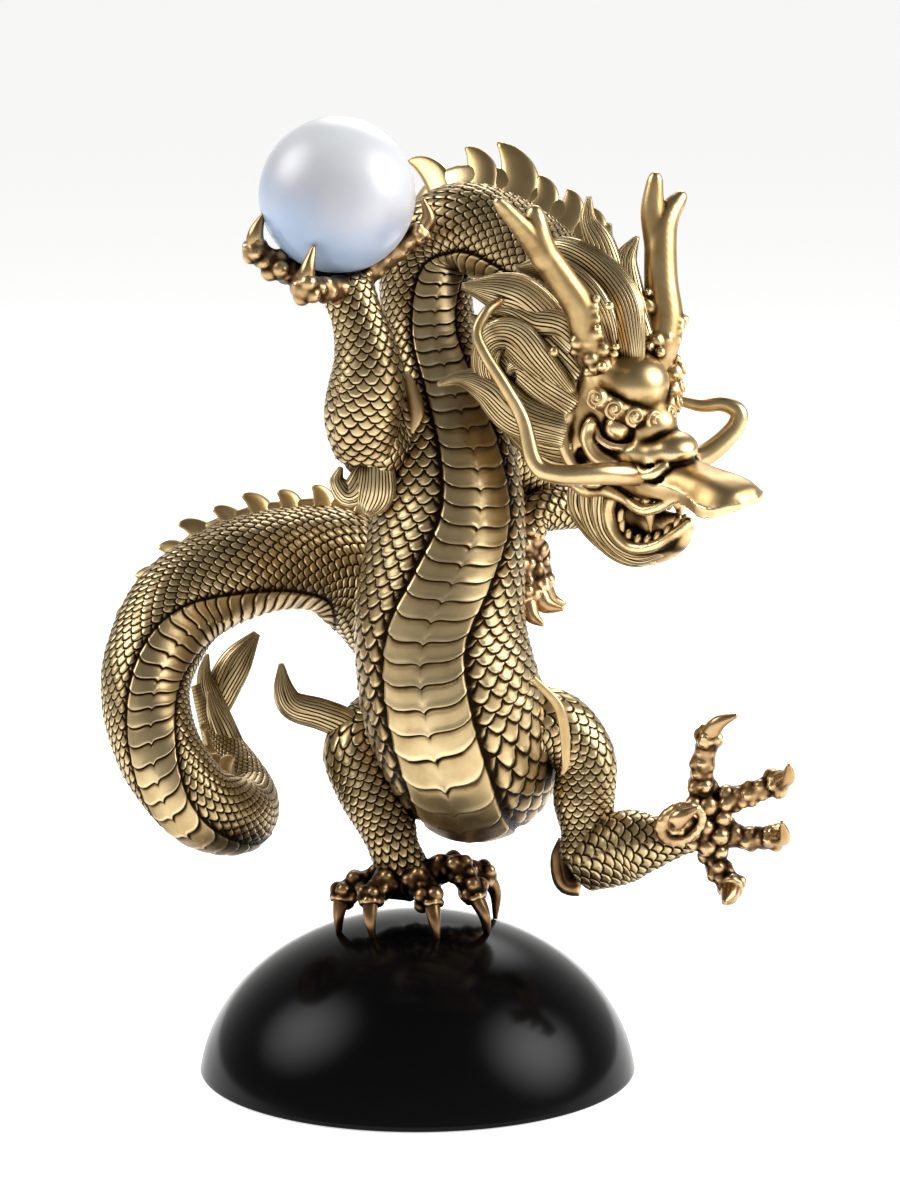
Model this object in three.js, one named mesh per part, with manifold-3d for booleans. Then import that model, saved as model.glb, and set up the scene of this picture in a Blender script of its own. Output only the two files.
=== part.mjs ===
// Bronze dragon holding a pearl, standing with one foot on a glossy half-dome plinth.
// Millimetres, +Z up, origin at the centre of the plinth's flat underside; the belly faces -Y.
// The dragon is one casting; the pearl and the plinth are pieces of their own.

import * as THREE from 'three';
import { mergeVertices } from 'three/addons/utils/BufferGeometryUtils.js';
import Module from 'manifold-3d';

const wasm = await Module();
wasm.setup();

// ---------------------------------------------------------------- driving dimensions

const PLINTH_RADIUS = 75.4;         // at the underside
const PLINTH_HEIGHT = 54;
const PLINTH_SINK = 6;              // the ellipsoid's centre lies this far below the underside
const PLINTH_EDGE = 0.8;            // small chamfer round the foot
const PEARL_CENTRE = [-26, -20, 304.5];
const PEARL_RADIUS = 25.9;
const GAP = 0.3;                    // clearance between touching pieces
const FACET_ALLOWANCE = 0.35;       // more clearance where facets meet facets of another ball
const JOIN_TOLERANCE = 0.03;        // slivers finer than this are merged where forms join

// Columns of the body's skin, as degrees of girth from the middle of the belly.
const PLATE_COLUMNS = [-38, 0, 38];           // carry the belly plates
const SCALE_COLUMNS = [78, 122, 167];         // flanks, mirrored either side of the crest
const ROW_PITCH = 6.8;              // one belly plate, and half a flame of the crest
const PLATE_LIP = 0.05;             // how far a plate's free edge stands out, of the radius
const PLATE_UNDERCUT = 0.12;        // share of a plate's length hidden under the one before

// The body's centre line from nape to tail end: x, y, z, radius and the way the belly faces.
const BODY = [
  [62, -19, 250, 11, -0.7, -0.3, -0.6],       // nape, inside the head
  [50, -6, 271, 14, -0.6, -0.4, -0.7],
  [33, 5, 285, 15, -0.2, -0.5, -0.85],        // top of the neck's arch
  [15, 12, 290, 15.5, 0.3, -0.6, -0.75],
  [4, 15, 279, 15.5, 0.4, -0.85, -0.3],
  [4, 10, 256, 15.5, 0.15, -1, 0],
  [8, 3, 235, 17.5, 0.25, -1, 0],             // shoulders
  [11, -2, 217, 21.5, 0.35, -0.95, 0],
  [11, -5, 197, 25, 0.4, -0.9, 0],            // chest
  [9, -7, 176, 27, 0.18, -1, 0],
  [8, -8, 156, 28.5, -0.08, -1, 0],
  [11, -7, 135, 30, -0.13, -1, -0.1],         // belly
  [16, -2, 119, 30, -0.1, -0.85, -0.5],
  [20, 13, 108, 29, 0, -0.25, -1],            // lowest point, over the plinth
  [21, 38, 110, 27, 0, 0.6, -0.8],
  [12, 54, 127, 25, 0.1, 1, -0.2],            // rises behind the trunk
  [-5, 56, 149, 22, 0.3, 0.7, -0.6],
  [-26, 50, 168, 19, 0.2, 0.1, -1],
  [-45, 42, 172, 17.3, 0, -0.35, -1],         // tail, crown of its loop
  [-64, 32, 169, 17, 0.3, -0.5, -0.8],
  [-82, 22, 159, 16.6, 0.55, -0.75, -0.4],
  [-91, 10, 144, 15.7, 0.4, -0.9, 0],
  [-93, 2, 130, 14.8, 0.3, -0.95, 0],
  [-88, -5, 113, 14.4, 0.1, -0.97, -0.2],
  [-78, -6, 98, 14, -0.15, -0.8, -0.6],
  [-70, 0, 91, 13.8, 0, -0.5, -0.9],
  [-62, 12, 87, 12.8, 0.3, 0, -1],
  [-60, 24, 90, 11, 0.7, 0.3, -0.6],
  [-64, 32, 98, 9, 0.7, 0.7, -0.1],
  [-69, 37, 107, 6.5, 0.5, 0.8, 0.2],
  [-74, 40, 117, 4, 0.5, 0.8, 0.2],
  [-78, 41, 127, 2, 0.5, 0.8, 0.2],           // tail end, inside its tuft
];

// Limbs as x, y, z, radius along their centre lines. "Right" and "left" are the dragon's own.
const LIMBS = {
  rightUpperArm: [[3, 0, 223, 12], [-4, -4, 226, 13], [-11, -10, 221, 12.5], [-17, -17, 221, 12]],
  rightForearm: [
    [-17, -18, 219, 10.5], [-18, -22, 231, 12.5], [-16, -24, 244, 12.3],
    [-17, -24, 255, 10], [-20, -23, 266, 8.3], [-23, -21, 274, 8.5],
  ],
  leftArm: [[25, 14, 214, 11], [37, 24, 206, 10.5], [49, 28, 198, 9.5], [60, 26, 193, 8.5]],
  leftForearm: [[61, 25, 194, 8.4], [50, 18, 194, 7.5], [40, 12, 192, 6.4], [38, 10, 186, 5.6]],
  leftThigh: [
    [33, -2, 118, 17], [47, -4, 121, 13], [57, -6, 111, 10.5],
    [57, -8, 97, 10.3], [58, -10, 87, 8.8], [58, -12, 78, 9],
  ],
  leftShin: [
    [56, -12, 73, 8], [62, -14, 78, 11], [72, -16, 83, 12],
    [81, -19, 85, 8.8], [88, -21, 87, 6.4], [97, -23, 92, 7.5],
  ],
  rightLeg: [
    [-1, 22, 121, 16], [-15, 20, 113, 14], [-21, 14, 108, 11.5], [-16, 8, 97, 11.5],
    [-11, 3, 87, 10], [-8, 0, 78, 8.4], [-5, 1, 69, 9],
  ],
};

// Every toe is a chain of joints, then a claw from its last joint to its point.
const TOES = {
  rightHand: [
    [[-25, -20, 275, 6], [-38, -24, 277, 4.6], [-46, -26, 281, 4.3], [-53, -26, 287, 4.5]],
    [[-23, -24, 274, 6], [-30, -36, 275, 4.6], [-36, -42, 276, 5]],
    [[-22, -18, 274, 6], [-14, -14, 280, 4.8], [-6, -13, 286, 4.4], [1, -13, 291, 4.3]],
    [[-24, -16, 274, 6], [-28, -2, 277, 4.8], [-32, 8, 283, 4.4], [-34, 12, 290, 4.4]],
  ],
  leftHand: [
    [[38, 10, 187, 5.5], [38, 8, 179, 4.5], [40, 6, 174, 3.9], [41, 4, 169, 4.3]],
    [[37, 9, 184, 5], [36, 3, 176, 4.2], [37, 0, 167, 4.5]],
    [[38, 12, 185, 5], [42, 14, 177, 4.2], [43, 16, 169, 4.4]],
  ],
  leftFoot: [
    [[98, -25, 96, 6.5], [96, -28, 107, 5], [96, -30, 115, 4.6], [98, -32, 124, 4.8]],
    [[101, -26, 97, 5.8], [105, -28, 102, 5], [112, -29, 104, 4.5], [121, -31, 108, 4.7]],
    [[101, -25, 93, 5.8], [106, -26, 89, 4.9], [112, -27, 88, 4.4], [120, -29, 89, 4.7]],
    [[99, -24, 89, 6.2], [100, -25, 83, 5], [102, -26, 77, 4.7], [106, -28, 72, 5]],
    [[96, -25, 91, 5.5], [91, -32, 94, 5.5], [87, -38, 96, 5.6]],
  ],
  rightFoot: [
    [[-8, 2, 66, 6.5], [-14, 0, 67, 5.3], [-21, -3, 66, 4.8], [-25, -5, 63, 4.7]],
    [[-7, -2, 66, 6.5], [-11, -8, 68, 5.3], [-16, -13, 64, 4.9]],
    [[-4, -3, 66, 6.5], [0, -10, 69, 5.3], [4, -15, 64, 4.9]],
    [[1, 2, 67, 6.5], [8, 0, 71, 5.6], [14, -3, 71.5, 5.4], [19, -7, 65, 4.9]],
    [[3, 6, 67, 6.5], [13, 10, 69, 5.2], [23, 14, 65, 4.8]],
  ],
};
const CLAWS = {
  rightHand: [
    [[-53, -26, 288, 3.3], [-52.5, -27, 293, 2.5], [-50, -26, 299, 0.6]],
    [[-36, -42, 277, 3.2], [-35, -43, 283, 2.4], [-33, -41, 290, 0.6]],
    [[1, -13, 291, 3.2], [4, -13, 296, 2.4], [2, -14, 303, 0.6]],
    [[-34, 12, 291, 3.2], [-34, 13, 297, 2.4], [-32, 10, 304, 0.6]],
  ],
  leftHand: [
    [[41, 3, 167, 3.6], [44, 2, 163, 3], [50, 1, 161.5, 0.6]],
    [[37, -1, 165, 3.4], [39, -3, 160, 2.6], [43, -5, 157, 0.6]],
    [[43, 16, 167, 3.4], [46, 17, 162, 2.6], [51, 18, 160, 0.6]],
  ],
  leftFoot: [
    [[98, -33, 125, 3.2], [101, -36, 130, 2.5], [107, -38, 133, 0.6]],
    [[121, -33, 109, 3.2], [124, -38, 112, 2.7], [124, -42, 117, 0.6]],
    [[120, -31, 90, 3.2], [123, -36, 91, 2.7], [122, -40, 97, 0.6]],
    [[106, -30, 72, 3.4], [105, -35, 70, 2.9], [103, -40, 69, 0.7]],
    [[86, -41, 97, 3.6], [88, -45, 100, 3.1], [94, -45, 103, 0.7]],
  ],
  rightFoot: [
    [[-26, -6, 62, 3.2], [-27, -8, 56, 2.5], [-27, -7, 48, 0.8]],
    [[-16, -15, 63, 3.2], [-16, -18, 57, 2.5], [-15, -18, 50, 0.8]],
    [[5, -17, 63, 3.3], [6, -20, 57, 2.6], [7, -20, 49, 0.8]],
    [[20, -9, 63, 3.3], [23, -11, 57, 2.6], [24, -10, 49, 0.8]],
    [[24, 15, 64, 3.2], [27, 16, 58, 2.6], [27, 15, 49, 0.8]],
  ],
};

// Swept locks of hair, flattened to a strap: mane, crown, elbow and hock tufts, tail plume.
const LOCKS = {
  crown: [
    [71, -36, 249, 4], [70, -37, 258, 5.5], [67, -34, 270, 8],
    [59, -28, 279, 8], [48, -22, 285, 6], [39, -18, 285, 1],
  ],
  cheekUpper: [[52, -36, 256, 6], [37, -36, 270, 8], [28, -36, 274, 7], [15, -34, 276, 1]],
  cheekCurl: [
    [50, -36, 240, 4], [39, -38, 252, 7], [31, -38, 260, 7],
    [24, -36, 257, 5], [24, -32, 246, 4.5], [36, -28, 238, 4],
  ],
  cheekLower: [
    [50, -34, 228, 6], [34, -32, 233, 7.5], [24, -32, 242, 6], [15, -31, 245, 3], [7, -31, 243, 0.8],
  ],
  jawLock: [[52, -32, 221, 5], [40, -28, 224, 6], [29, -28, 234, 4.5], [22, -28, 238, 1]],
  uprightTall: [[66, -27, 272, 5], [61, -24, 288, 5], [57, -22, 296, 3], [57, -20, 304, 0.8]],
  uprightShort: [[74, -29, 258, 5], [70, -26, 274, 5], [69, -24, 283, 4], [73, -22, 291, 0.8]],
  uprightBack: [[60, -18, 276, 5], [62, -18, 288, 3.2], [64, -18, 295, 0.8]],
  farCheek: [[70, -8, 246, 6], [62, 0, 254, 8], [54, 6, 256, 6], [44, 12, 252, 1]],
  farJaw: [[70, -8, 232, 6], [62, 2, 234, 7.5], [54, 8, 230, 5], [45, 12, 222, 1]],
  elbowTuft: [
    [-15, -18, 217, 6], [-12, -18, 209, 7], [-15, -18, 202, 6], [-22, -18, 205, 4.5], [-24, -18, 212, 1],
  ],
  hockTuft: [
    [-22, 14, 111, 6], [-32, 14, 119, 6], [-41, 14, 127, 5.5], [-45, 14, 134, 4], [-46, 14, 141, 1],
  ],
  heelSpur: [[56, -10, 68, 4.5], [51, -10, 69, 4.2], [49, -10, 77, 3.4], [49, -10, 84, 0.8]],
  plumeOuter: [
    [-62, 34, 99, 5], [-68, 38, 109, 6], [-73, 40, 122, 5], [-75, 41, 130, 3], [-74, 41, 138, 0.8],
  ],
  plumeInner: [[-64, 34, 100, 4], [-68, 34, 112, 4], [-71, 34, 119, 3], [-73, 34, 126, 0.8]],
  plumeLeaf: [
    [-68, 38, 104, 4], [-72, 42, 118, 4.5], [-69, 43, 128, 5], [-63, 44, 137, 4.5], [-55, 45, 145, 1.4],
  ],
};

const HORNS = {
  right: [
    [61, -38, 249, 6], [57, -43, 257, 5.4], [54, -45, 269, 4.7], [47, -46, 280, 4.3],
    [40, -47, 290, 4], [35, -49, 296, 2.8], [26, -52, 306, 0.9],
  ],
  rightBranch: [[41, -47, 287, 3.4], [38, -46, 294, 2.8], [37, -46, 300, 1]],
  left: [
    [73, -27, 244, 6.5], [79, -25, 253, 6.6], [82, -23, 263, 6], [81, -21, 276, 5],
    [81, -18, 290, 4.6], [83, -16, 297, 3.2], [88, -13, 304, 1],
  ],
  leftBranch: [[80, -18, 288, 3.7], [78, -17, 299, 3.2], [79, -17, 311, 0.9]],
};
const HORN_KNOBS = [
  [57.5, -47, 270], [52.5, -47, 259], [58.5, -48, 262],
  [61, -46.5, 256.5], [57, -47.5, 253.5], [61.5, -45, 251],
  [77, -26, 268], [86.5, -24, 262.5], [84.5, -26, 257.5],
  [75, -29, 257], [79, -30, 257.5], [77, -30, 253.5],
];

const WHISKERS = {
  right: [
    [74, -44, 215, 4], [60, -52, 216.5, 3.6], [47, -54, 216.5, 3.2], [39, -53, 220, 2.8], [35, -51, 234, 2.4],
    [29, -50, 245, 2.2], [23, -48, 254.5, 2], [20, -46, 262, 1.8], [23, -44, 268.5, 1.7], [28, -40, 272, 1.4],
  ],
  left: [
    [84, -34, 217, 4], [95, -30, 219, 3.8], [104.5, -27, 226.4, 3.3],
    [107, -26, 232.5, 3], [102, -25, 235.6, 2.6], [94.5, -24, 235, 2.2], [86, -24, 237, 1.6],
  ],
};

// The head has axes of its own: forward along the snout, to its left, and up through the crown.
const HEAD_ORIGIN = new THREE.Vector3(73.5, -38, 245.5);
const HEAD_FORWARD = new THREE.Vector3(0.698, -0.698, -0.156);
const HEAD_LEFT = new THREE.Vector3(0.715, 0.683, 0.146);
const HEAD_UP = new THREE.Vector3(0.004, -0.214, 0.977);

// Face forms on those axes: centre and half-sizes, mirrored where the middle value is not zero.
const FACE_BALLS = [
  [-13, 0, -11, 17, 15, 16],        // skull
  [-1, 0, -1, 9.5, 9.5, 9],         // forehead
  [-18, 10, -20, 12, 7, 13],        // cheeks
  [-8, 11, 3, 8, 7, 9],             // seats of the horns
  [-11, 0, -40, 11, 10, 14],        // back of the mouth
  [0.5, 11.5, -15.5, 5, 4.8, 4.8],  // eyes
  [5, 7, -22, 8, 6, 6],             // muzzle beside the bridge
  [5, 0, -14, 7.5, 7, 7],           // bridge of the nose
  [16.5, 0, -19.5, 7, 8.5, 5.5],    // nose
  [12.5, 6.5, -24.5, 4.5, 4, 4],    // nostril wings
];
const BROW_HALF = [[-2, 17.5, -3], [0.8, 13.5, -6], [4.8, 8.5, -8.8], [7.3, 3, -10.6]];
const BROW_RADIUS = 3;
// Upper snout and lower jaw: distance forward, height, half-width and half-height of each section.
const SNOUT = [
  [-8, -30, 11.5, 8.5], [4, -30.5, 11, 8.5], [14, -31, 10.2, 8],
  [23, -29.5, 8.8, 6.6], [31, -28.5, 8.6, 5.8], [40, -28.5, 9.6, 6.6],
  [48, -28.6, 9, 5.8], [54, -29, 6, 4], [57, -29.5, 2.4, 1.6],
];
const JAW = [
  [-16, -45, 10, 8], [-6, -53, 9.6, 7], [3, -59, 8.6, 5],
  [12, -58.5, 7.8, 4.4], [20, -54, 6.4, 4], [26, -49, 3, 2.6],
];
const BEARD_OFFSETS = [-5.5, 0, 5.5];
const BEARD = [[12, -59, 4], [3, -62, 5.5], [-7, -62.5, 6], [-16, -58, 5.5], [-25, -51, 4]];
const EAR = [[-17, 13, -4, 4], [-20, 15, 4, 4.5], [-23, 16.5, 11, 3.2], [-25, 17, 19, 0.6]];
const UPPER_FANG = [[11.6, 7, -37, 2.2], [12.6, 7, -43, 1.8], [13.4, 7, -49, 0.4]];
const LOWER_TEETH = [[21.5, 3.2, -51], [14, 5.8, -54.5], [6, 6.8, -55.5]];   // forward, left, gum height
const TOOTH_HEIGHT = 6;

// ---------------------------------------------------------------- curves and closed surfaces

/** Smooth value at t (0..1) through every column of the points: a uniform Catmull-Rom curve. */
function along(points, t) {
  const last = points.length - 1;
  const place = Math.min(t * last, last - 1e-9);
  const i = Math.floor(place);
  const u = place - i;
  const b = points[i];
  const c = points[i + 1];
  const a = points[i - 1] ?? b.map((v, k) => 2 * v - c[k]);
  const d = points[i + 2] ?? c.map((v, k) => 2 * v - b[k]);
  return b.map((v, k) => 0.5 * (2 * v + (c[k] - a[k]) * u + (2 * a[k] - 5 * v + 4 * c[k] - d[k]) * u * u
    + (3 * v - a[k] - 3 * c[k] + d[k]) * u * u * u));
}

const vector = (v) => new THREE.Vector3(v[0], v[1], v[2]);

/** The part of a direction that is square to an axis, at unit length. */
function squareTo(direction, axis) {
  return direction.clone().addScaledVector(axis, -direction.dot(axis)).normalize();
}

/** Closed surface through rings of equal count, with a fan over each end. */
function loft(rings) {
  const count = rings[0].length;
  const vertices = rings.flat();
  const middle = (ring) => ring.reduce((sum, p) => sum.add(p), new THREE.Vector3())
    .divideScalar(count);
  const first = vertices.push(middle(rings[0])) - 1;
  const last = vertices.push(middle(rings.at(-1))) - 1;
  const faces = [];
  for (let i = 0; i < rings.length - 1; i += 1) {
    for (let j = 0; j < count; j += 1) {
      const a = i * count + j;
      const b = i * count + (j + 1) % count;
      faces.push(a, b, b + count, a, b + count, a + count);
    }
  }
  const lastRing = (rings.length - 1) * count;
  for (let j = 0; j < count; j += 1) {
    const next = (j + 1) % count;
    faces.push(first, next, j);
    faces.push(last, lastRing + j, lastRing + next);
  }
  const geometry = new THREE.BufferGeometry();
  const positions = vertices.flatMap((p) => p.toArray());
  geometry.setAttribute('position', new THREE.Float32BufferAttribute(positions, 3));
  geometry.setIndex(faces);
  return geometry;
}

/** Rod along a curve of [x, y, z, radius], or a strap whose flat side looks along facing. */
function rod(points, { sides = 6, steps = points.length - 1, flat = 1, facing = [0, -1, 0.01] } = {}) {
  const rings = [];
  for (let i = 0; i <= steps; i += 1) {
    const t = i / steps;
    const [x, y, z, radius] = along(points, t);
    const before = vector(along(points, Math.max(0, t - 0.02)));
    const after = vector(along(points, Math.min(1, t + 0.02)));
    const ahead = after.sub(before).normalize();
    const out = squareTo(vector(facing), ahead);
    const side = new THREE.Vector3().crossVectors(ahead, out);
    const ring = [];
    for (let j = 0; j < sides; j += 1) {
      const angle = (j / sides) * Math.PI * 2;
      ring.push(new THREE.Vector3(x, y, z)
        .addScaledVector(out, Math.cos(angle) * radius * flat)
        .addScaledVector(side, Math.sin(angle) * radius));
    }
    rings.push(ring);
  }
  return loft(rings);
}

// ---------------------------------------------------------------- solids

/** Corner numbers of the faces whose three corners are different points. */
function realFaces(corners) {
  const kept = [];
  for (let i = 0; i < corners.length; i += 3) {
    const [a, b, c] = corners.slice(i, i + 3);
    if (a !== b && b !== c && c !== a) {
      kept.push(a, b, c);
    }
  }
  return kept;
}

/** A closed geometry as a solid that can be joined and cut. */
function solidOf(geometry) {
  geometry.deleteAttribute('normal');
  geometry.deleteAttribute('uv');
  const merged = mergeVertices(geometry, 1e-4);
  return new wasm.Manifold(new wasm.Mesh({
    numProp: 3,
    vertProperties: new Float32Array(merged.attributes.position.array),
    triVerts: new Uint32Array(realFaces(Array.from(merged.index.array))),
    tolerance: JOIN_TOLERANCE,
  }));
}

/** A solid back as three.js geometry. */
function geometryOf(solid) {
  const mesh = solid.getMesh();
  const geometry = new THREE.BufferGeometry();
  geometry.setAttribute('position', new THREE.Float32BufferAttribute(mesh.vertProperties, 3));
  geometry.setIndex(Array.from(mesh.triVerts));
  geometry.computeVertexNormals();
  return geometry;
}

/** All the solids fused into one. */
function fuse(solids) {
  return solids.reduce((whole, solid) => whole.add(solid));
}

/** Ball or egg of three half-sizes on the given axes. */
function egg(centre, sizes, axes, across = 8, down = 6) {
  const geometry = new THREE.SphereGeometry(1, across, down);
  const [a, b, c] = axes;
  const frame = new THREE.Matrix4().makeBasis(
    a.clone().multiplyScalar(sizes[0]),
    b.clone().multiplyScalar(sizes[1]),
    c.clone().multiplyScalar(sizes[2]),
  );
  frame.setPosition(centre);
  geometry.applyMatrix4(frame);
  return solidOf(geometry);
}

// ---------------------------------------------------------------- body with belly plates and crest

const FINE = 600;                   // steps used to measure the body's length
const TURN_SHARE = 0.475;           // where the trunk turns back under itself, of that length

/** Stations along the body at equal steps of the curve, with the length run so far. */
function bodyStations() {
  const stations = [];
  let length = 0;
  for (let i = 0; i <= FINE; i += 1) {
    const values = along(BODY, i / FINE);
    if (i > 0) {
      length += vector(values).distanceTo(vector(stations[i - 1].values));
    }
    stations.push({ values, length });
  }
  return stations;
}

const STATIONS = bodyStations();
const BODY_LENGTH = STATIONS.at(-1).length;
const BODY_ROWS = Math.round(BODY_LENGTH / ROW_PITCH);

/** Centre, radius and axes of the body at a length from the nape. */
function bodyAt(length) {
  const wanted = Math.min(Math.max(length, 0), BODY_LENGTH);
  const after = Math.max(1, STATIONS.findIndex((station) => station.length >= wanted));
  const before = after - 1;
  const run = STATIONS[after].length - STATIONS[before].length;
  const share = (wanted - STATIONS[before].length) / run;
  const t = (before + share) / FINE;
  const values = along(BODY, t);
  const further = vector(along(BODY, Math.min(1, t + 0.002)));
  const ahead = further.sub(vector(along(BODY, Math.max(0, t - 0.002)))).normalize();
  const belly = squareTo(new THREE.Vector3(values[4], values[5], values[6]), ahead);
  const side = new THREE.Vector3().crossVectors(ahead, belly);
  return { centre: vector(values), radius: values[3], ahead, belly, side };
}

/** Height of the crest's flames: tall over the neck, low on the tail, gone at the ends and in the fold. */
function flameHeight(length) {
  const share = length / BODY_LENGTH;
  const overNeck = Math.exp(-(((share - 0.11) / 0.07) ** 2));
  const inFold = Math.exp(-(((share - TURN_SHARE) / 0.1) ** 4));
  const fade = Math.min(1, (1 - share) * 9, share * 30);
  return (7.5 + 9 * overNeck) * fade * (1 - inFold);
}

/** A point on the skin at so many degrees from the belly's middle. */
function onSkin({ centre, radius, belly, side }, degrees, reach = 1) {
  const angle = degrees * Math.PI / 180;
  return centre.clone()
    .addScaledVector(belly, Math.cos(angle) * radius * reach)
    .addScaledVector(side, Math.sin(angle) * radius * reach);
}

/** The crest's ridge at one row: every other row is a flame's point, hooked toward the tail. */
function ridge(row, length) {
  const spot = bodyAt(length);
  const height = flameHeight(length);
  const isPoint = row % 2 === 1;
  return spot.centre.clone()
    .addScaledVector(spot.belly, -(spot.radius + height * (isPoint ? 1 : 0.22)))
    .addScaledVector(spot.ahead, isPoint ? height * 0.55 : 0);
}

/** One ring of skin: plates at their own length and reach, flanks and crest at the row's. */
function skinRing(row, rowLength, plateLength, reach) {
  const spot = bodyAt(rowLength);
  const plateSpot = bodyAt(plateLength);
  const flank = SCALE_COLUMNS.map((degrees) => onSkin(spot, degrees));
  const otherFlank = SCALE_COLUMNS.map((degrees) => onSkin(spot, -degrees)).reverse();
  const plates = PLATE_COLUMNS.map((degrees) => onSkin(plateSpot, degrees, reach));
  return [...plates, ...flank, ridge(row, rowLength), ...otherFlank];
}

/** A stretch of body: every belly plate rises to its free edge and steps back under it. */
function bodyStretch(firstRow, lastRow) {
  const pitch = BODY_LENGTH / BODY_ROWS;
  const rings = [];
  for (let row = firstRow; row < lastRow; row += 1) {
    const here = row * pitch;
    rings.push(skinRing(row, here, here, 1 - PLATE_LIP / 2));
    rings.push(skinRing(row + 1, here + pitch, here + pitch * (1 - PLATE_UNDERCUT), 1 + PLATE_LIP));
  }
  return solidOf(loft(rings));
}

function buildBody() {
  const turnRow = Math.round(BODY_ROWS * TURN_SHARE);
  return bodyStretch(0, turnRow + 1).add(bodyStretch(turnRow - 1, BODY_ROWS));
}

// ---------------------------------------------------------------- limbs, toes and hair

function buildLimbs() {
  const limbs = Object.values(LIMBS).map((points) => solidOf(rod(points, { sides: 7 })));
  const feet = Object.keys(TOES);
  const toes = feet.flatMap((foot) => TOES[foot].map((toe, i) => [...toe, ...CLAWS[foot][i]]));
  return fuse([...limbs, ...toes.map((points) => solidOf(rod(points, { sides: 5 })))]);
}

function buildHair() {
  return fuse(Object.values(LOCKS).map((points) => solidOf(rod(points, { sides: 6, flat: 0.55 }))));
}

// ---------------------------------------------------------------- head

/** A point given on the head's axes. */
function onHead(forward, left, up) {
  return HEAD_ORIGIN.clone()
    .addScaledVector(HEAD_FORWARD, forward)
    .addScaledVector(HEAD_LEFT, left)
    .addScaledVector(HEAD_UP, up);
}

/** Head-axis points with a radius, ready for a rod. */
function headPath(points, sign = 1) {
  return points.map(([forward, left, up, radius]) => [...onHead(forward, left * sign, up).toArray(), radius]);
}

/** Snout section: arched above, hollowed below, its sides hanging as lips. */
function lipSection([forward, up, half, high]) {
  const outline = [
    [-1, -1], [-0.95, 0], [-0.6, 0.75], [0, 1], [0.6, 0.75], [0.95, 0], [1, -1], [0, -0.4],
  ];
  return outline.map(([l, u]) => onHead(forward, l * half, up + u * high)).reverse();
}

/** Jaw section: round below, hollowed above between the gums. */
function jawSection([forward, up, half, high]) {
  const outline = [
    [-1, 0.8], [-0.95, -0.1], [-0.6, -0.8], [0, -1], [0.6, -0.8], [0.95, -0.1], [1, 0.8], [0, 0.1],
  ];
  return outline.map(([l, u]) => onHead(forward, l * half, up + u * high));
}

function buildFace() {
  const axes = [HEAD_FORWARD, HEAD_LEFT, HEAD_UP];
  const parts = [];
  for (const [forward, left, up, ...sizes] of FACE_BALLS) {
    const signs = left === 0 ? [1] : [1, -1];
    const [across, down] = sizes[0] > 8 ? [8, 6] : [6, 4];
    signs.forEach((sign) => parts.push(egg(onHead(forward, left * sign, up), sizes, axes, across, down)));
  }
  const brow = [...BROW_HALF, ...BROW_HALF.map(([f, l, u]) => [f, -l, u]).reverse()];
  parts.push(solidOf(rod(headPath(brow.map((p) => [...p, BROW_RADIUS])), { sides: 5 })));
  parts.push(solidOf(loft(SNOUT.map(lipSection))));
  parts.push(solidOf(loft(JAW.map(jawSection))));
  return fuse(parts);
}

function buildHeadTrim() {
  const parts = [];
  BEARD_OFFSETS.forEach((left) => {
    const lock = headPath(BEARD.map(([f, u, r]) => [f, left, u, r]));
    parts.push(solidOf(rod(lock, { sides: 5 })));
  });
  [1, -1].forEach((sign) => {
    parts.push(solidOf(rod(headPath(EAR, sign), { sides: 6, flat: 0.55 })));
    parts.push(solidOf(rod(headPath(UPPER_FANG, sign), { sides: 4 })));
    LOWER_TEETH.forEach(([f, l, gum]) => {
      const tooth = [[f, l, gum - 2, 1.8], [f, l, gum + 1, 1.6], [f + 1, l, gum + TOOTH_HEIGHT, 0.4]];
      parts.push(solidOf(rod(headPath(tooth, sign), { sides: 4 })));
    });
  });
  Object.values(HORNS).forEach((horn) => parts.push(solidOf(rod(horn, { sides: 5 }))));
  Object.values(WHISKERS).forEach((whisker) => parts.push(solidOf(rod(whisker, { sides: 4 }))));
  const axes = [HEAD_FORWARD, HEAD_LEFT, HEAD_UP];
  HORN_KNOBS.forEach((spot) => parts.push(egg(vector(spot), [2.6, 2.6, 2.6], axes, 5, 3)));
  return fuse(parts);
}

// ---------------------------------------------------------------- pearl and plinth

/** The plinth's outline, grown by a clearance: half an ellipse over a small chamfer. */
function plinthGeometry(grow = 0, around = 36, rows = 7) {
  const high = PLINTH_HEIGHT + PLINTH_SINK + grow;
  const wide = (PLINTH_RADIUS + grow) / Math.sqrt(1 - (PLINTH_SINK / high) ** 2);
  const start = Math.asin(PLINTH_SINK / high);
  const profile = [new THREE.Vector2(0, 0), new THREE.Vector2(PLINTH_RADIUS + grow - PLINTH_EDGE, 0)];
  for (let i = 0; i <= rows; i += 1) {
    const angle = start + (i / rows) * (Math.PI / 2 - start);
    const height = Math.max(PLINTH_EDGE, high * Math.sin(angle) - PLINTH_SINK);
    profile.push(new THREE.Vector2(i === rows ? 0 : wide * Math.cos(angle), height));
  }
  const lathe = new THREE.LatheGeometry(profile, around);
  lathe.rotateX(Math.PI / 2);
  return lathe;
}

/** The pearl's ball, grown by a clearance. */
function pearlGeometry(grow = 0, across = 18, down = 10) {
  return new THREE.SphereGeometry(PEARL_RADIUS + grow, across, down)
    .rotateX(Math.PI / 2)
    .translate(...PEARL_CENTRE);
}

// ---------------------------------------------------------------- assembly

const bronze = new THREE.MeshStandardMaterial({ color: 0x9c7a44, roughness: 0.42, metalness: 0.9 });
const pearlWhite = new THREE.MeshStandardMaterial({ color: 0xdfe4ee, roughness: 0.3, metalness: 0 });
const blackGloss = new THREE.MeshStandardMaterial({ color: 0x0b0b0c, roughness: 0.08, metalness: 0 });

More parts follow.
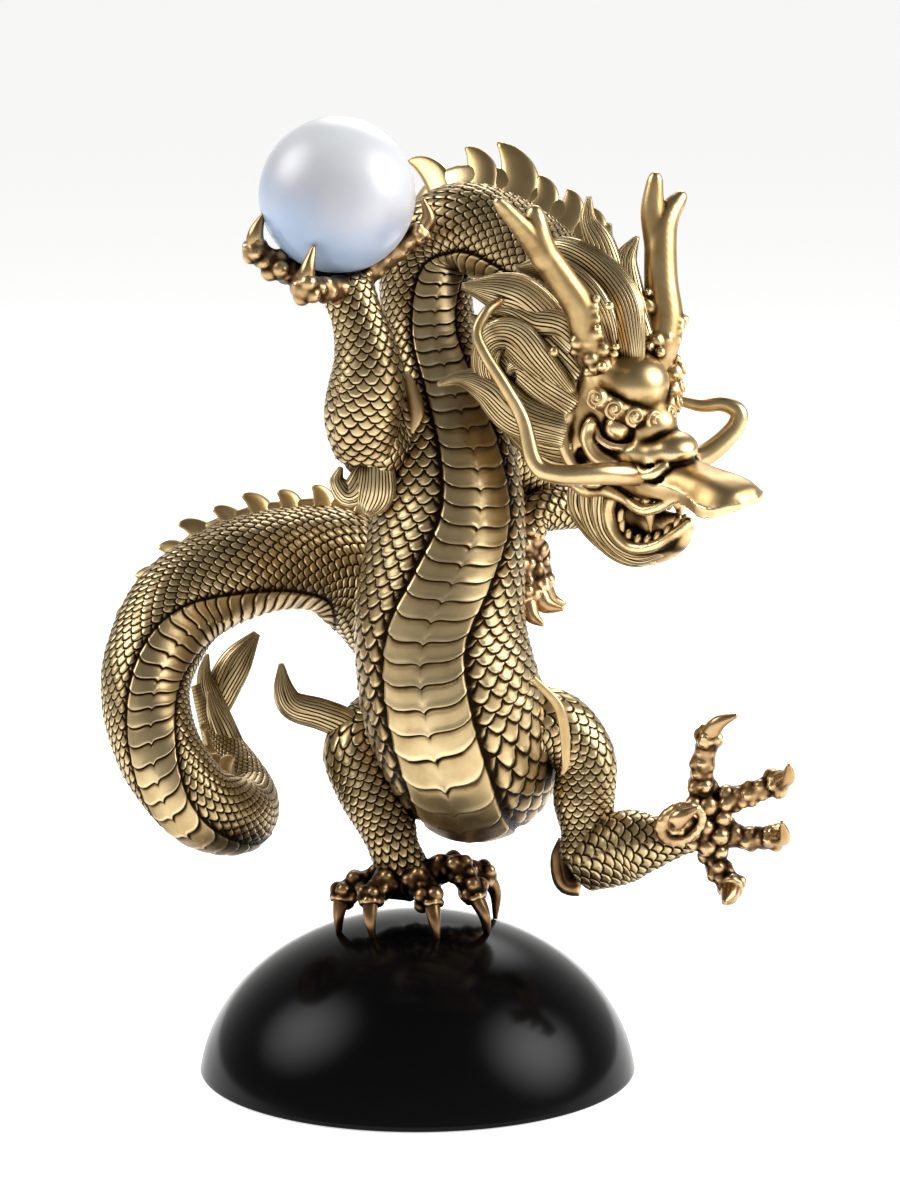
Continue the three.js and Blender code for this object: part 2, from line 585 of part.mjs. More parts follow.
const wholeDragon = fuse([buildBody(), buildLimbs(), buildHair(), buildFace(), buildHeadTrim()]);
const clearOfPlinth = solidOf(plinthGeometry(GAP));
const clearOfPearl = solidOf(pearlGeometry(GAP + FACET_ALLOWANCE));
const dragonSolid = wholeDragon.subtract(clearOfPlinth).subtract(clearOfPearl);

const dragon = new THREE.Mesh(geometryOf(dragonSolid), bronze);
dragon.name = 'dragon';
const pearl = new THREE.Mesh(geometryOf(solidOf(pearlGeometry())), pearlWhite);
pearl.name = 'pearl';
const plinth = new THREE.Mesh(geometryOf(solidOf(plinthGeometry())), blackGloss);
plinth.name = 'plinth';

const sculpture = new THREE.Group();
sculpture.add(plinth, dragon, pearl);

export default sculpture;
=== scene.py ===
"""Bronze dragon holding a pearl on a black half-dome plinth: the finished looks.

Every form is worked out in the model's own millimetres, in the row frame, and is brought to metres when
its mesh is made. The dragon's skin, limbs, hair and claws are surfaces carried along paths; its head and
feet are modelled as blended solid forms on a grid, because many forms flow into each other there.
"""

import logging
import math
import time
from dataclasses import dataclass, field
from enum import Enum
from typing import Callable

import bpy
import numpy as np
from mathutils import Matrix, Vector


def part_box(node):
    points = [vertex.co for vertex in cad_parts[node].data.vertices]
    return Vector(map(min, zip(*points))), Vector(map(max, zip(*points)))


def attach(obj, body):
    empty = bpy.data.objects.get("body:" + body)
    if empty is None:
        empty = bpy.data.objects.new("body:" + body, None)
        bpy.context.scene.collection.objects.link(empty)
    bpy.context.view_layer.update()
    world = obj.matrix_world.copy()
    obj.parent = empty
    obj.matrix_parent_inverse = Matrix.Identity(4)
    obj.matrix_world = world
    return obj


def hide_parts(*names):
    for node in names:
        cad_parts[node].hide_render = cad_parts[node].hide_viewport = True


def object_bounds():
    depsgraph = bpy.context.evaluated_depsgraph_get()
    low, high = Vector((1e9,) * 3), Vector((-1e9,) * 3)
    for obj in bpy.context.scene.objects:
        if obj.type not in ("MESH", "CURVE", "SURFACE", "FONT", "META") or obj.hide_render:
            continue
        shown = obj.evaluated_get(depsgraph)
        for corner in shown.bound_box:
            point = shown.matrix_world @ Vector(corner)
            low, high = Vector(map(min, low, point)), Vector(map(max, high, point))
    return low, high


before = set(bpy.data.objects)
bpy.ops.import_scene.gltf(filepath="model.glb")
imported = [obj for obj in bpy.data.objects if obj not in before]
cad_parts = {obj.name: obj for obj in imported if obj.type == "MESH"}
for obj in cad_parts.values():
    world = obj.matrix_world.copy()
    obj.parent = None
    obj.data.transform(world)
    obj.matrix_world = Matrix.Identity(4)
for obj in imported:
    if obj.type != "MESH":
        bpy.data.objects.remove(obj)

log = logging.getLogger("dragon")
CAD_LOW, CAD_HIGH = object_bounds()
MODEL_HEIGHT = 330.4
UNIT = (CAD_HIGH.z - CAD_LOW.z) / MODEL_HEIGHT      # one model millimetre in the frame's metres
PLINTH_LOW, PLINTH_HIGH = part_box("plinth")
ORIGIN = np.array([(PLINTH_LOW.x + PLINTH_HIGH.x) / 2, (PLINTH_LOW.y + PLINTH_HIGH.y) / 2, CAD_LOW.z])
BODY_NAME = "root"
WEAR_AND_PAINTED_SHADING = "relief"           # how worn a place is, 0 in grooves and 1 on ridges, with painted shade at scale and plate edges; on the pearl, painted light and shade
PATINA_AND_SHADE = "patina_and_painted_shade"         # how closed in it is: patina in the hollows, and painted shade in recesses, on undersides and under the figure's bulk
COMB = "comb"               # which strand of hair it lies on
ROWS = "rows"               # which row of scales, and which column
COLUMNS = "columns"
NORMAL = "normal"
Array = np.ndarray
Triple = tuple[float, float, float]
Row = tuple[float, ...]
Points = tuple[Row, ...]
Path = Points | Array
Pieces = list[bpy.types.Object]
Socket = bpy.types.NodeSocket


# ------------------------ surfaces

@dataclass
class Surface:
    """A closed triangle surface in model millimetres, with numbers kept for its vertices."""

    vertices: Array
    faces: Array
    marks: dict[str, Array] = field(default_factory=dict)

    def normals(self) -> Array:
        """Unit normal of every vertex: the sum of the crosses of its faces' edges."""
        a, b, c = (self.vertices[self.faces[:, k]] for k in range(3))
        cross = np.cross(b - a, c - a)
        total = np.stack([
            sum(np.bincount(self.faces[:, k], cross[:, axis], len(self.vertices)) for k in range(3))
            for axis in range(3)
        ], axis=1)
        return unit_rows(total)

    def facing_out(self) -> "Surface":
        """The same surface with its faces pointing outwards, judged by the sign of the volume it holds."""
        a, b, c = (self.vertices[self.faces[:, k]] for k in range(3))
        volume = np.einsum("ij,ij->i", a, np.cross(b, c)).sum()
        return self if volume > 0 else Surface(self.vertices, self.faces[:, ::-1], self.marks)

    def relief(self, rounds: int) -> Array:
        """Height of every vertex over its softened surroundings, in millimetres.

        The positions are averaged with their neighbours' for some rounds, and the height is how far the
        vertex stands from its averaged place along its normal.

        Args:
            rounds: how many times the positions are averaged.

        Returns:
            One height a vertex, positive on ridges and negative in grooves.
        """
        count = len(self.vertices)
        here = self.faces.ravel()
        there = np.roll(self.faces, -1, axis=1).ravel()
        degree = np.maximum(np.bincount(here, minlength=count), 1)
        soft = self.vertices
        for _ in range(rounds):
            mean = np.stack([np.bincount(here, soft[there, k], count) / degree for k in range(3)], axis=1)
            soft = 0.5 * (soft + mean)
        return np.einsum("ij,ij->i", self.vertices - soft, self.normals())


def join(surfaces: list[Surface]) -> Surface:
    """Several surfaces as one, side by side."""
    starts = np.cumsum([0] + [len(s.vertices) for s in surfaces[:-1]])
    return Surface(
        np.vstack([s.vertices for s in surfaces]),
        np.vstack([s.faces + start for s, start in zip(surfaces, starts)]),
        {name: np.concatenate([s.marks[name] for s in surfaces]) for name in surfaces[0].marks},
    )


def unit_rows(rows: Array) -> Array:
    """Every row at unit length."""
    return rows / np.maximum(np.linalg.norm(rows, axis=-1, keepdims=True), 1e-9)


def square_to(direction: Array, axis: Array) -> Array:
    """The part of each direction that is square to its axis, at unit length."""
    along = np.sum(direction * axis, axis=-1, keepdims=True) * axis
    return unit_rows(direction - along)


def smoothstep(x: Array) -> Array:
    """0 below 0, 1 above 1, and the cubic 3x^2 - 2x^3 between."""
    x = np.clip(x, 0, 1)
    return x * x * (3 - 2 * x)


def turn_of(count: int) -> Array:
    """Evenly spaced angles of one whole turn."""
    return np.linspace(0, 2 * math.pi, count, endpoint=False)


def smooth_curve(points: Array, t: Array) -> Array:
    """Values at t (0..1) on the uniform Catmull-Rom curve through every column of the points.

    Args:
        points: control rows of any number of columns.
        t: places along the curve, evenly shared between the rows.

    Returns:
        One row for each t.
    """
    ends = np.vstack([2 * points[0] - points[1], points, 2 * points[-1] - points[-2]])
    last = len(points) - 1
    place = np.clip(t * last, 0, last - 1e-9)
    i = place.astype(int)
    u = (place - i)[:, None]
    a, b, c, d = (ends[i + k] for k in range(4))
    return 0.5 * (2 * b + (c - a) * u + (2 * a - 5 * b + 4 * c - d) * u**2 + (3 * b - a - 3 * c + d) * u**3)


def even_curve(points: Path, count: int) -> tuple[Array, Array]:
    """Rows at equal lengths along a curve, and those lengths.

    Args:
        points: control rows that start with x, y, z.
        count: how many rows to return.

    Returns:
        The rows, and the length run at each.
    """
    control = np.array(points, float)
    fine = smooth_curve(control, np.linspace(0, 1, 40 * len(control)))
    steps = np.linalg.norm(np.diff(fine[:, :3], axis=0), axis=1)
    run = np.concatenate([[0], np.cumsum(steps)])
    wanted = np.linspace(0, run[-1], count)
    return np.stack([np.interp(wanted, run, column) for column in fine.T], axis=1), wanted


def grid_faces(rows: int, around: int) -> Array:
    """Triangles of a tube's grid, with a fan from each end's middle vertex, which come last."""
    first = np.arange(rows - 1)[:, None] * around
    j = np.arange(around)[None, :]
    k = (j + 1) % around
    a, b = (first + j).ravel(), (first + k).ravel()
    c, d = b + around, a + around
    side = np.concatenate([np.stack([a, b, c], 1), np.stack([a, c, d], 1)])
    start, end = rows * around, rows * around + 1
    j, k = j.ravel(), k.ravel()
    last = (rows - 1) * around
    near = np.stack([np.full(around, start), k, j], 1)
    far = np.stack([np.full(around, end), last + j, last + k], 1)
    return np.concatenate([side, near, far])


def tube(rings: Array) -> Surface:
    """Closed surface through rings of shape (rows, around, 3)."""
    rows, around = rings.shape[:2]
    vertices = np.vstack([rings.reshape(-1, 3), rings[0].mean(0), rings[-1].mean(0)])
    return Surface(vertices, grid_faces(rows, around)).facing_out()


Section = Callable[[Array, Array, Array], Array]


def sweep(
    points: Path, rows: int = 32, around: int = 20, flat: float = 1.0,
    facing: Triple | Array | None = None, section: Section | None = None,
) -> Surface:
    """Rod or strap carried along a path.

    The ring at each station is centre + radius * (flat * cos(angle) * out + sin(angle) * side), times what
    the section function gives for that station and angle.

    Args:
        points: x, y, z, radius rows of the path.
        rows: stations along it.
        around: vertices around it.
        flat: thickness of the strap as a share of its width.
        facing: the way the strap's flat side looks; by default the normal of the path's own plane.
        section: multiplier from (length run, radius, angle), as whole arrays.

    Returns:
        The closed surface.
    """
    rows_at, run = even_curve(points, rows)
    centre, radius = rows_at[:, :3], np.maximum(rows_at[:, 3], 0.05)
    ahead = unit_rows(np.gradient(centre, axis=0))
    if facing is None:
        facing = np.linalg.svd(centre - centre.mean(0))[2][2]
    out = square_to(np.broadcast_to(np.asarray(facing, float), ahead.shape), ahead)
    side = np.cross(ahead, out)
    angle = turn_of(around)
    reach = np.broadcast_to(radius[:, None], (rows, around))
    if section is not None:
        reach = reach * section(run[:, None], radius[:, None], angle[None, :])
    rings = centre[:, None] + reach[..., None] * (
        flat * np.cos(angle)[None, :, None] * out[:, None] + np.sin(angle)[None, :, None] * side[:, None]
    )
    return tube(rings)


def ball(centre: Array, radius: float, around: int, down: int) -> Surface:
    """Ball: centre plus the radius times a unit sphere's point, with its poles as the ends' middles."""
    tilt = np.linspace(0, math.pi, down + 2)[1:-1][:, None]
    turn = turn_of(around)[None, :]
    sphere = np.stack([np.sin(tilt) * np.cos(turn), np.sin(tilt) * np.sin(turn), np.cos(tilt) + 0 * turn], -1)
    surface = tube(sphere)
    surface.vertices[-2:] = [[0, 0, 1], [0, 0, -1]]
    surface.vertices = np.asarray(centre) + surface.vertices * radius
    return surface.facing_out()


# ------------------------ clay: forms blended on a grid

@dataclass
class Clay:
    """Solid forms blended into each other: a distance on a grid, negative inside."""

    low: Triple | Array
    high: Triple | Array
    step: float
    grid: Array = field(init=False)
    axes: list[Array] = field(init=False)

    def __post_init__(self) -> None:
        """Starts empty: far outside everywhere."""
        self.axes = [np.arange(a, b + self.step, self.step, dtype=np.float32) for a, b in zip(self.low, self.high)]
        self.grid = np.full([len(a) for a in self.axes], 50, np.float32)

    def window(self, low: Array, high: Array) -> tuple[tuple[slice, ...], list[Array]]:
        """The part of the grid between two corners, as slices and its coordinates."""
        slices, coordinates = [], []
        for k, axis in enumerate(self.axes):
            first, last = np.searchsorted(axis, [low[k], high[k]])
            slices.append(slice(int(first), int(last)))
            shape = [1, 1, 1]
            shape[k] = -1
            coordinates.append(axis[first:last].reshape(shape))
        return tuple(slices), coordinates

    def blend(self, slices: tuple[slice, ...], distance: Array, soft: float, carve: bool) -> None:
        """Smooth minimum of the grid and a distance, or smooth maximum with its opposite to carve."""
        old = self.grid[slices]
        sign = -1.0 if carve else 1.0
        a, b = sign * old, distance
        share = np.clip(0.5 + 0.5 * (a - b) / soft, 0, 1)
        self.grid[slices] = sign * (a * (1 - share) + b * share - soft * share * (1 - share))

    def ball(self, row: Path, soft: float = 1.5, carve: bool = False) -> None:
        """Adds or carves an egg: k (k - 1) / m, with k the length of p/size and m that of p/size^2.

        Args:
            row: its centre, and its radius or three half-sizes.
            soft: how far it flows into what is there.
            carve: takes it away instead.
        """
        row = np.array(row, float)
        centre, sizes = row[:3], np.broadcast_to(row[3:], 3)
        reach = sizes + 3 * soft + 2
        slices, xyz = self.window(centre - reach, centre + reach)
        scaled = [(xyz[k] - centre[k]) / sizes[k] for k in range(3)]
        k0 = np.sqrt(sum(s * s for s in scaled)) + 1e-6
        k1 = np.sqrt(sum((s / sizes[k]) ** 2 for k, s in enumerate(scaled))) + 1e-6
        self.blend(slices, (k0 * (k0 - 1) / k1).astype(np.float32), soft, carve)

    def rod(self, points: Path, soft: float = 1.0, carve: bool = False) -> None:
        """Adds or carves a chain of cones: distance to each stretch's line less the radius there."""
        for a, b in zip(points[:-1], points[1:]):
            a, b = np.array(a, float), np.array(b, float)
            reach = max(a[3], b[3]) + 3 * soft + 2
            slices, xyz = self.window(np.minimum(a[:3], b[:3]) - reach, np.maximum(a[:3], b[:3]) + reach)
            line = b[:3] - a[:3]
            share = sum((xyz[k] - a[k]) * line[k] for k in range(3)) / max(line @ line, 1e-9)
            share = np.clip(share, 0, 1)
            apart = np.sqrt(sum((xyz[k] - a[k] - share * line[k]) ** 2 for k in range(3)))
            distance = apart - (a[3] + share * (b[3] - a[3]))
            self.blend(slices, distance.astype(np.float32), soft, carve)

    @staticmethod
    def between(rows: Array, x: Array) -> list[Array]:
        """Every column after the first, on the smooth curve through the rows, at places x along it."""
        smooth = smooth_curve(rows, np.linspace(0, 1, 200))
        return [np.interp(x.ravel(), smooth[:, 0], column).reshape(x.shape) for column in smooth.T[1:]]

    def loft(self, sections: Points, power: float = 2.4, soft: float = 1.0, carve: bool = False) -> None:
        """Adds or carves a body of rounded-box sections set along the first axis.

        At each place the distance is (k - 1) times the smaller half-size, with k the power mean of the
        offsets over the half-sizes, and no less than the way past either end.

        Args:
            sections: place along the axis, height of the middle, half-width and half-height.
            power: 2 for an ellipse, more for squarer corners.
            soft: how far it flows into what is there.
            carve: takes it away instead.
        """
        rows = np.array(sections, float)
        places = rows[:, 0]
        wide, high = rows[:, 2].max(), rows[:, 3].max()
        slices, (x, y, z) = self.window(
            np.array([places[0], -wide, (rows[:, 1] - high).min()]) - 3 * soft - 2,
            np.array([places[-1], wide, (rows[:, 1] + high).max()]) + 3 * soft + 2,
        )
        middle, half, tall = self.between(rows, x)
        offset = (np.abs(y) / half) ** power + (np.abs(z - middle) / tall) ** power
        distance = (offset ** (1 / power) - 1) * np.minimum(half, tall)
        past = np.maximum(places[0] - x, x - places[-1])
        self.blend(slices, np.maximum(distance, past).astype(np.float32), soft, carve)

    def sheet(self, sections: Points, soft: float = 1.0) -> None:
        """Adds a bowed sheet along the first axis, with an edge that turns up a little again.

        With s = |across| / half-width, its middle lies at ridge - sag * (0.7 s^4 + 0.3 s^2 - 0.3 s^12)
        - 0.9 (1 - s^2), a shallow dish between drooping sides. The distance is the way from there less half
        the thickness, joined to the way past a side or an end.

        Args:
            sections: place along the axis, ridge height, half-width, sag and half the thickness.
            soft: how far it flows into what is there.
        """
        rows = np.array(sections, float)
        places, ridge, wide, sag, thick = rows.T
        slices, (x, y, z) = self.window(
            np.array([places[0], -wide.max(), (ridge - sag).min() - thick.max()]) - 3 * soft - 2,
            np.array([places[-1], wide.max(), (ridge + thick).max()]) + 3 * soft + 2,
        )
        ridge, wide, sag, thick = self.between(rows, x)
        s = np.clip(np.abs(y) / np.maximum(wide, 0.3), 0, 1.3)
        droop = 0.7 * s**4 + 0.3 * s**2 - 0.30 * np.minimum(s, 1.05) ** 12
        middle = ridge - sag * droop - 0.9 * np.clip(1 - s**2, 0, 1)
        off = np.abs(z - middle) * 0.8 - thick
        side = np.abs(y) - wide
        past = np.maximum(np.maximum(places[0] - x, x - places[-1]), side)
        inner = np.minimum(np.maximum(off, past), 0)
        outer = np.hypot(np.maximum(off, 0), np.maximum(past, 0))
        self.blend(slices, (inner + outer).astype(np.float32), soft, False)

    def surface(self) -> Surface:
        """The zero level as a mesh: one vertex in each crossed cell, at the mean of its edges' crossings."""
        inside = self.grid < 0
        cells = [slice(0, -1), slice(1, None)]
        count = sum(inside[cells[i], cells[j], cells[k]].astype(np.int8) for i, j, k in np.ndindex(2, 2, 2))
        crossed = (count > 0) & (count < 8)
        place = np.argwhere(crossed)
        number = np.full(crossed.shape, -1)
        number[crossed] = np.arange(len(place))
        total, hits = np.zeros((len(place), 3)), np.zeros(len(place))
        faces = []
        for axis in range(3):
            others = [k for k in range(3) if k != axis]
            ahead, first, second = np.eye(3, dtype=int)[[axis, *others]]
            for i, j in np.ndindex(2, 2):
                near = i * first + j * second
                far = near + ahead
                va, vb = (self.grid[tuple((place + corner).T)] for corner in (near, far))
                cut = (va < 0) != (vb < 0)
                share = np.where(cut, va / np.where(cut, va - vb, 1), 0)
                total += (near + share[:, None] * (far - near)) * cut[:, None]
                hits += cut
            spots = np.argwhere(np.diff(inside, axis=axis))
            aside = spots[:, others]
            spots = spots[((aside > 0) & (aside < np.array(number.shape)[others])).all(1)]
            cells_round = [spots - i * first - j * second for i, j in ((0, 0), (1, 0), (1, 1), (0, 1))]
            quad = np.stack([number[tuple(cell.T)] for cell in cells_round], 1)
            flip = inside[tuple(spots.T)] != (axis == 1)
            quad[flip] = quad[flip][:, ::-1]
            faces += [quad[:, [0, 1, 2]], quad[:, [0, 2, 3]]]
        vertices = np.array(self.low) + self.step * (place + total / hits[:, None])
        return Surface(vertices, np.concatenate(faces)).facing_out()


# ------------------------ painted shade and patina: how closed-in a place is

@dataclass
class PatinaAndShadeGrid:
    """How full the space is around a place, from balls that stand for every form of the figure; it paints shade
    and patina into recesses.
    """

    low: Triple = (-128.0, -92.0, 0.0)
    size: Triple = (268.0, 188.0, 340.0)
    step: float = 2.0
    fill: Array = field(init=False)

    def __post_init__(self) -> None:
        """Starts empty."""
        self.fill = np.zeros(np.ceil(np.array(self.size) / self.step).astype(int), np.float32)

    def add(self, balls: Array) -> None:
        """Fills every ball, given as x, y, z, radius rows."""
        for x, y, z, radius in balls:
            centre = (np.array([x, y, z]) - self.low) / self.step
            reach = max(radius / self.step, 0.6)
            first = np.maximum(np.floor(centre - reach).astype(int), 0)
            last = np.minimum(np.ceil(centre + reach).astype(int) + 1, self.fill.shape)
            if (last <= first).any():
                continue
            grid = np.ogrid[first[0]:last[0], first[1]:last[1], first[2]:last[2]]
            near = sum((g - c) ** 2 for g, c in zip(grid, centre)) <= reach**2
            block = self.fill[first[0]:last[0], first[1]:last[1], first[2]:last[2]]
            np.maximum(block, near, out=block)

    def soften(self, rounds: int = 3) -> None:
        """Averages the fill with its neighbours along each axis, some rounds, which nears a bell curve."""
        for _ in range(rounds):
            for axis in range(3):
                total = self.fill.copy()
                for shift in (-1, 1):
                    total += np.roll(self.fill, shift, axis)
                self.fill = total / 3

    def at(self, surface: Surface, ahead: float = 2.5) -> Array:
        """Painted shade and patina just outside every vertex: 0 in the open and 1 in a deep recess, with more
        painted shade where it faces down.

        Low places under the figure's bulk get half a recess more of painted shade.
        """
        points = surface.vertices + surface.normals() * ahead
        place = np.clip((points - self.low) / self.step, 0, np.array(self.fill.shape) - 1.001)
        base = place.astype(int)
        share = place - base
        total = np.zeros(len(points))
        for corner in np.ndindex(2, 2, 2):
            weight = np.abs(1 - np.array(corner) - share).prod(axis=1)
            total += weight * self.fill[tuple((base + corner).T)]
        # painted shade on faces that look down
        underside = np.clip(-surface.normals()[:, 2] - 0.1, 0, 1)
        x, _, z = surface.vertices.T
        # painted shade low under the figure's bulk
        under_figure = smoothstep((112 - z) / 50) * smoothstep((66 - x) / 30)
        return smoothstep((total - 0.3) / 0.6) + 0.55 * underside + 0.5 * under_figure


PATINA_AND_SHADE_GRID = PatinaAndShadeGrid()


# ------------------------ finishes

@dataclass
class Wiring:
    """The nodes of a material, a lamp or the world, and the links between them."""

    tree: bpy.types.NodeTree

    def node(self, kind: str) -> bpy.types.Node:
        """A new node of a kind."""
        return self.tree.nodes.new("ShaderNode" + kind)

    def link(self, source: Socket, target: Socket) -> None:
        """Joins an output to an input."""
        self.tree.links.new(source, target)

    def attribute(self, name: str) -> Socket:
        """A number kept on the mesh."""
        node = self.node("Attribute")
        node.attribute_name = name
        return node.outputs["Fac"]

    def noise(self, scale: float, detail: float) -> Socket:
        """Noise on object coordinates, at so many cells a metre."""
        node = self.node("TexNoise")
        set_sockets(node.inputs, {"Scale": scale, "Detail": detail})
        self.link(self.node("TexCoord").outputs["Object"], node.inputs["Vector"])
        return node.outputs["Fac"]

    def calc(self, operation: str, *values: Socket | float) -> Socket:
        """A Math node; each value is a socket to link or a number to set."""
        node = self.node("Math")
        node.operation = operation
        for socket, value in zip(node.inputs, values):
            if isinstance(value, (int, float)):
                socket.default_value = value
            else:
                self.link(value, socket)
        return node.outputs[0]

    def plus(self, level: Socket, part: Socket, share: float) -> Socket:
        """The level plus a share of a part."""
        return self.calc("ADD", level, self.calc("MULTIPLY", part, share))

    def ranged(
        self, value: Socket, given: tuple[float, float], wanted: tuple[float, float] = (1.0, 0.0),
        shape: str = "SMOOTHSTEP",
    ) -> Socket:
        """A value brought from one range to another and held at its ends."""
        node = self.node("MapRange")
        node.interpolation_type = shape
        names = ("From Min", "From Max", "To Min", "To Max")
        set_sockets(node.inputs, dict(zip(names, (*given, *wanted))))
        self.link(value, node.inputs["Value"])
        return node.outputs["Result"]

    def ramp(self, level: Socket, stops: Row, colours: tuple[Triple, ...]) -> Socket:
        """A colour by level, blended between colours that stand at rising stops."""
        node = self.node("ValToRGB")
        elements = node.color_ramp.elements
        for element, k in ((elements[0], 0), (elements[1], -1)):
            element.position, element.color = stops[k], (*colours[k], 1)
        for place, colour in zip(stops[1:-1], colours[1:-1]):
            elements.new(place).color = (*colour, 1)
        self.link(level, node.inputs["Fac"])
        return node.outputs["Color"]

    def past_scale_edge(self) -> Socket:
        """How far, in rows, a place lies past the edge of the scale over it: scale_relief's rule, as nodes."""
        rows = self.attribute(ROWS)
        first = self.calc("SUBTRACT", self.calc("FLOOR", rows), 1.0)
        a = self.calc("SUBTRACT", rows, first)
        shift = self.calc("MULTIPLY", self.calc("FLOORED_MODULO", first, 2.0), 0.5)
        c = self.calc("SUBTRACT", self.attribute(COLUMNS), shift)
        b = self.calc("MULTIPLY", self.calc("ABSOLUTE", self.calc("SUBTRACT", c, self.calc("ROUND", c))), 2.0)
        square = self.calc("POWER", b, EDGE_POWER)
        tip = self.calc("MULTIPLY_ADD", square, -SCALE_OVERLAP * EDGE_DEPTH, SCALE_OVERLAP)
        return self.calc("SUBTRACT", a, tip)


def set_sockets(inputs: bpy.types.bpy_prop_collection, values: dict[str, float | Row]) -> None:
    """Sets numbers and colours that are the same all over, each on its own socket."""
    for name, value in values.items():
        inputs[name].default_value = value


def new_material(name: str) -> tuple[bpy.types.Material, Wiring, bpy.types.bpy_prop_collection]:
    """A node material, with its wiring and its shader's inputs."""
    material = bpy.data.materials.new(name)
    material.use_nodes = True
    return material, Wiring(material.node_tree), material.node_tree.nodes["Principled BSDF"].inputs


@dataclass(frozen=True)
class BronzeFinish:
    """Patinated bronze: near black in the recesses, brown between, gold where it has been rubbed; painted shade
    darkens recesses, undersides and places under the figure.
    """

    name: str
    deep: Triple = (0.012, 0.007, 0.003)
    brown: Triple = (0.11, 0.067, 0.028)
    middle: Triple = (0.41, 0.295, 0.14)
    bright: Triple = (0.82, 0.655, 0.38)
    stops: Row = (0.16, 0.34, 0.52, 0.95)
    roughness: tuple[float, float] = (0.50, 0.29)     # in the recesses, and on the high spots
    grain: float = 0.10                               # strength of the cast surface's fine tooth
    wear: float = 0.0                                 # added to the relief, so more of it is rubbed
    combed: bool = False                              # has the fine lines of combed hair
    scaled: bool = False                              # has the fine edges of scales
    mottle: float = 0.30                              # spread of the patina's blotches
    closed: float = -0.40                             # painted shade and patina: what a closed-in place takes off the level
    bump_metres: float = 0.0003

    def material(self) -> bpy.types.Material:
        """Builds the node material.

        Returns:
            Colour and roughness follow the wear, patina and painted shade kept on the mesh, broken up by noise on
            object coordinates. Combed hair has a dark line wherever the strand number is whole. Scales
            have a dark edge and a painted shadow past it, both painted shade, and a pale rim inside it. The bump
            is fine noise less these.
        """
        material, wiring, shader = new_material(self.name)
        shader["Metallic"].default_value = 1.0
        blotch = wiring.calc("MULTIPLY_ADD", wiring.noise(170, 4), self.mottle, -self.mottle / 2 + self.wear)
        # The worn level carries the scales' and plates' painted shade as well; the closed-in mark adds patina and
        # painted shade.
        worn = wiring.calc("ADD", wiring.attribute(WEAR_AND_PAINTED_SHADING), blotch)
        level = wiring.plus(worn, wiring.attribute(PATINA_AND_SHADE), self.closed)
        height = wiring.calc("MULTIPLY", wiring.noise(1500, 2), self.grain)
        if self.combed:
            apart = wiring.calc("PINGPONG", wiring.attribute(COMB), 0.5)
            groove = wiring.ranged(apart, (0.02, 0.24))
            level = wiring.plus(level, groove, -0.66)
            height = wiring.calc("SUBTRACT", height, groove)
        if self.scaled:
            # The dark edge and the shadow just past it are painted shade cast by the scale above.
            past = wiring.past_scale_edge()
            edge = wiring.ranged(wiring.calc("ABSOLUTE", past), (0.03, 0.17))
            outside = wiring.calc("GREATER_THAN", past, 0.0)
            shadow = wiring.calc("MULTIPLY", wiring.ranged(past, (0.0, 0.55)), outside)
            within = wiring.calc("LESS_THAN", past, 0.0)
            near = wiring.ranged(wiring.calc("ADD", past, 0.30), (-0.16, 0.0), (0.0, 1.0))
            rim = wiring.calc("MULTIPLY", near, within)
            for part, share in ((edge, -0.50), (shadow, -0.26), (rim, 0.12)):
                level = wiring.plus(level, part, share)
            height = wiring.calc("SUBTRACT", height, wiring.calc("MULTIPLY", edge, 0.7))

        colours = (self.deep, self.brown, self.middle, self.bright)
        wiring.link(wiring.ramp(level, self.stops, colours), shader["Base Color"])
        wiring.link(wiring.ranged(level, (0.2, 0.8), self.roughness, "LINEAR"), shader["Roughness"])
        bump = wiring.node("Bump")
        set_sockets(bump.inputs, {"Strength": 1.0, "Distance": self.bump_metres})
        wiring.link(height, bump.inputs["Height"])
        wiring.link(bump.outputs["Normal"], shader["Normal"])
        return material


@dataclass(frozen=True)
class PearlFinish:
    """Nacre with painted light and shade: white on the upper, painted lit side, bluish on the lower, painted
    shaded side, with faint rosy clouds under a soft clear coat.
    """

    name: str = "pearl_nacre"
    # The bluish colour is painted shade and the white is painted light.
    painted_shade_blue: Triple = (0.27, 0.37, 0.52)
    rosy: Triple = (0.46, 0.46, 0.51)
    white: Triple = (0.62, 0.64, 0.66)
    stops: Row = (0.18, 0.48, 0.80)

    def material(self) -> bpy.types.Material:
        """Builds the node material: the painted light and shade kept on the mesh, stirred by slow noise, picks the
        colour.
        """
        material, wiring, shader = new_material(self.name)
        set_sockets(shader, {
            "Coat Weight": 0.5, "Coat Roughness": 0.2, "Sheen Weight": 0.15, "Sheen Roughness": 0.4,
        })
        cloud = wiring.noise(40, 3)
        stirred = wiring.calc("MULTIPLY_ADD", cloud, 0.5, -0.25)
        level = wiring.calc("ADD", wiring.attribute(WEAR_AND_PAINTED_SHADING), stirred)
        colours = (self.painted_shade_blue, self.rosy, self.white)
        wiring.link(wiring.ramp(level, self.stops, colours), shader["Base Color"])
        wiring.link(wiring.calc("MULTIPLY_ADD", cloud, 0.12, 0.30), shader["Roughness"])
        return material


@dataclass(frozen=True)
class LacquerFinish:
    """Polished black lacquer with a faint unevenness of the rubbed-out coat."""

    name: str = "plinth_lacquer"
    colour: Triple = (0.002, 0.002, 0.0022)
    ior: float = 1.19

    def material(self) -> bpy.types.Material:
        """Builds the node material: near-black, with roughness that drifts by slow noise."""
        material, wiring, shader = new_material(self.name)
        set_sockets(shader, {"Base Color": (*self.colour, 1), "IOR": self.ior})
        wiring.link(wiring.calc("MULTIPLY_ADD", wiring.noise(30, 2), 0.06, 0.13), shader["Roughness"])
        return material


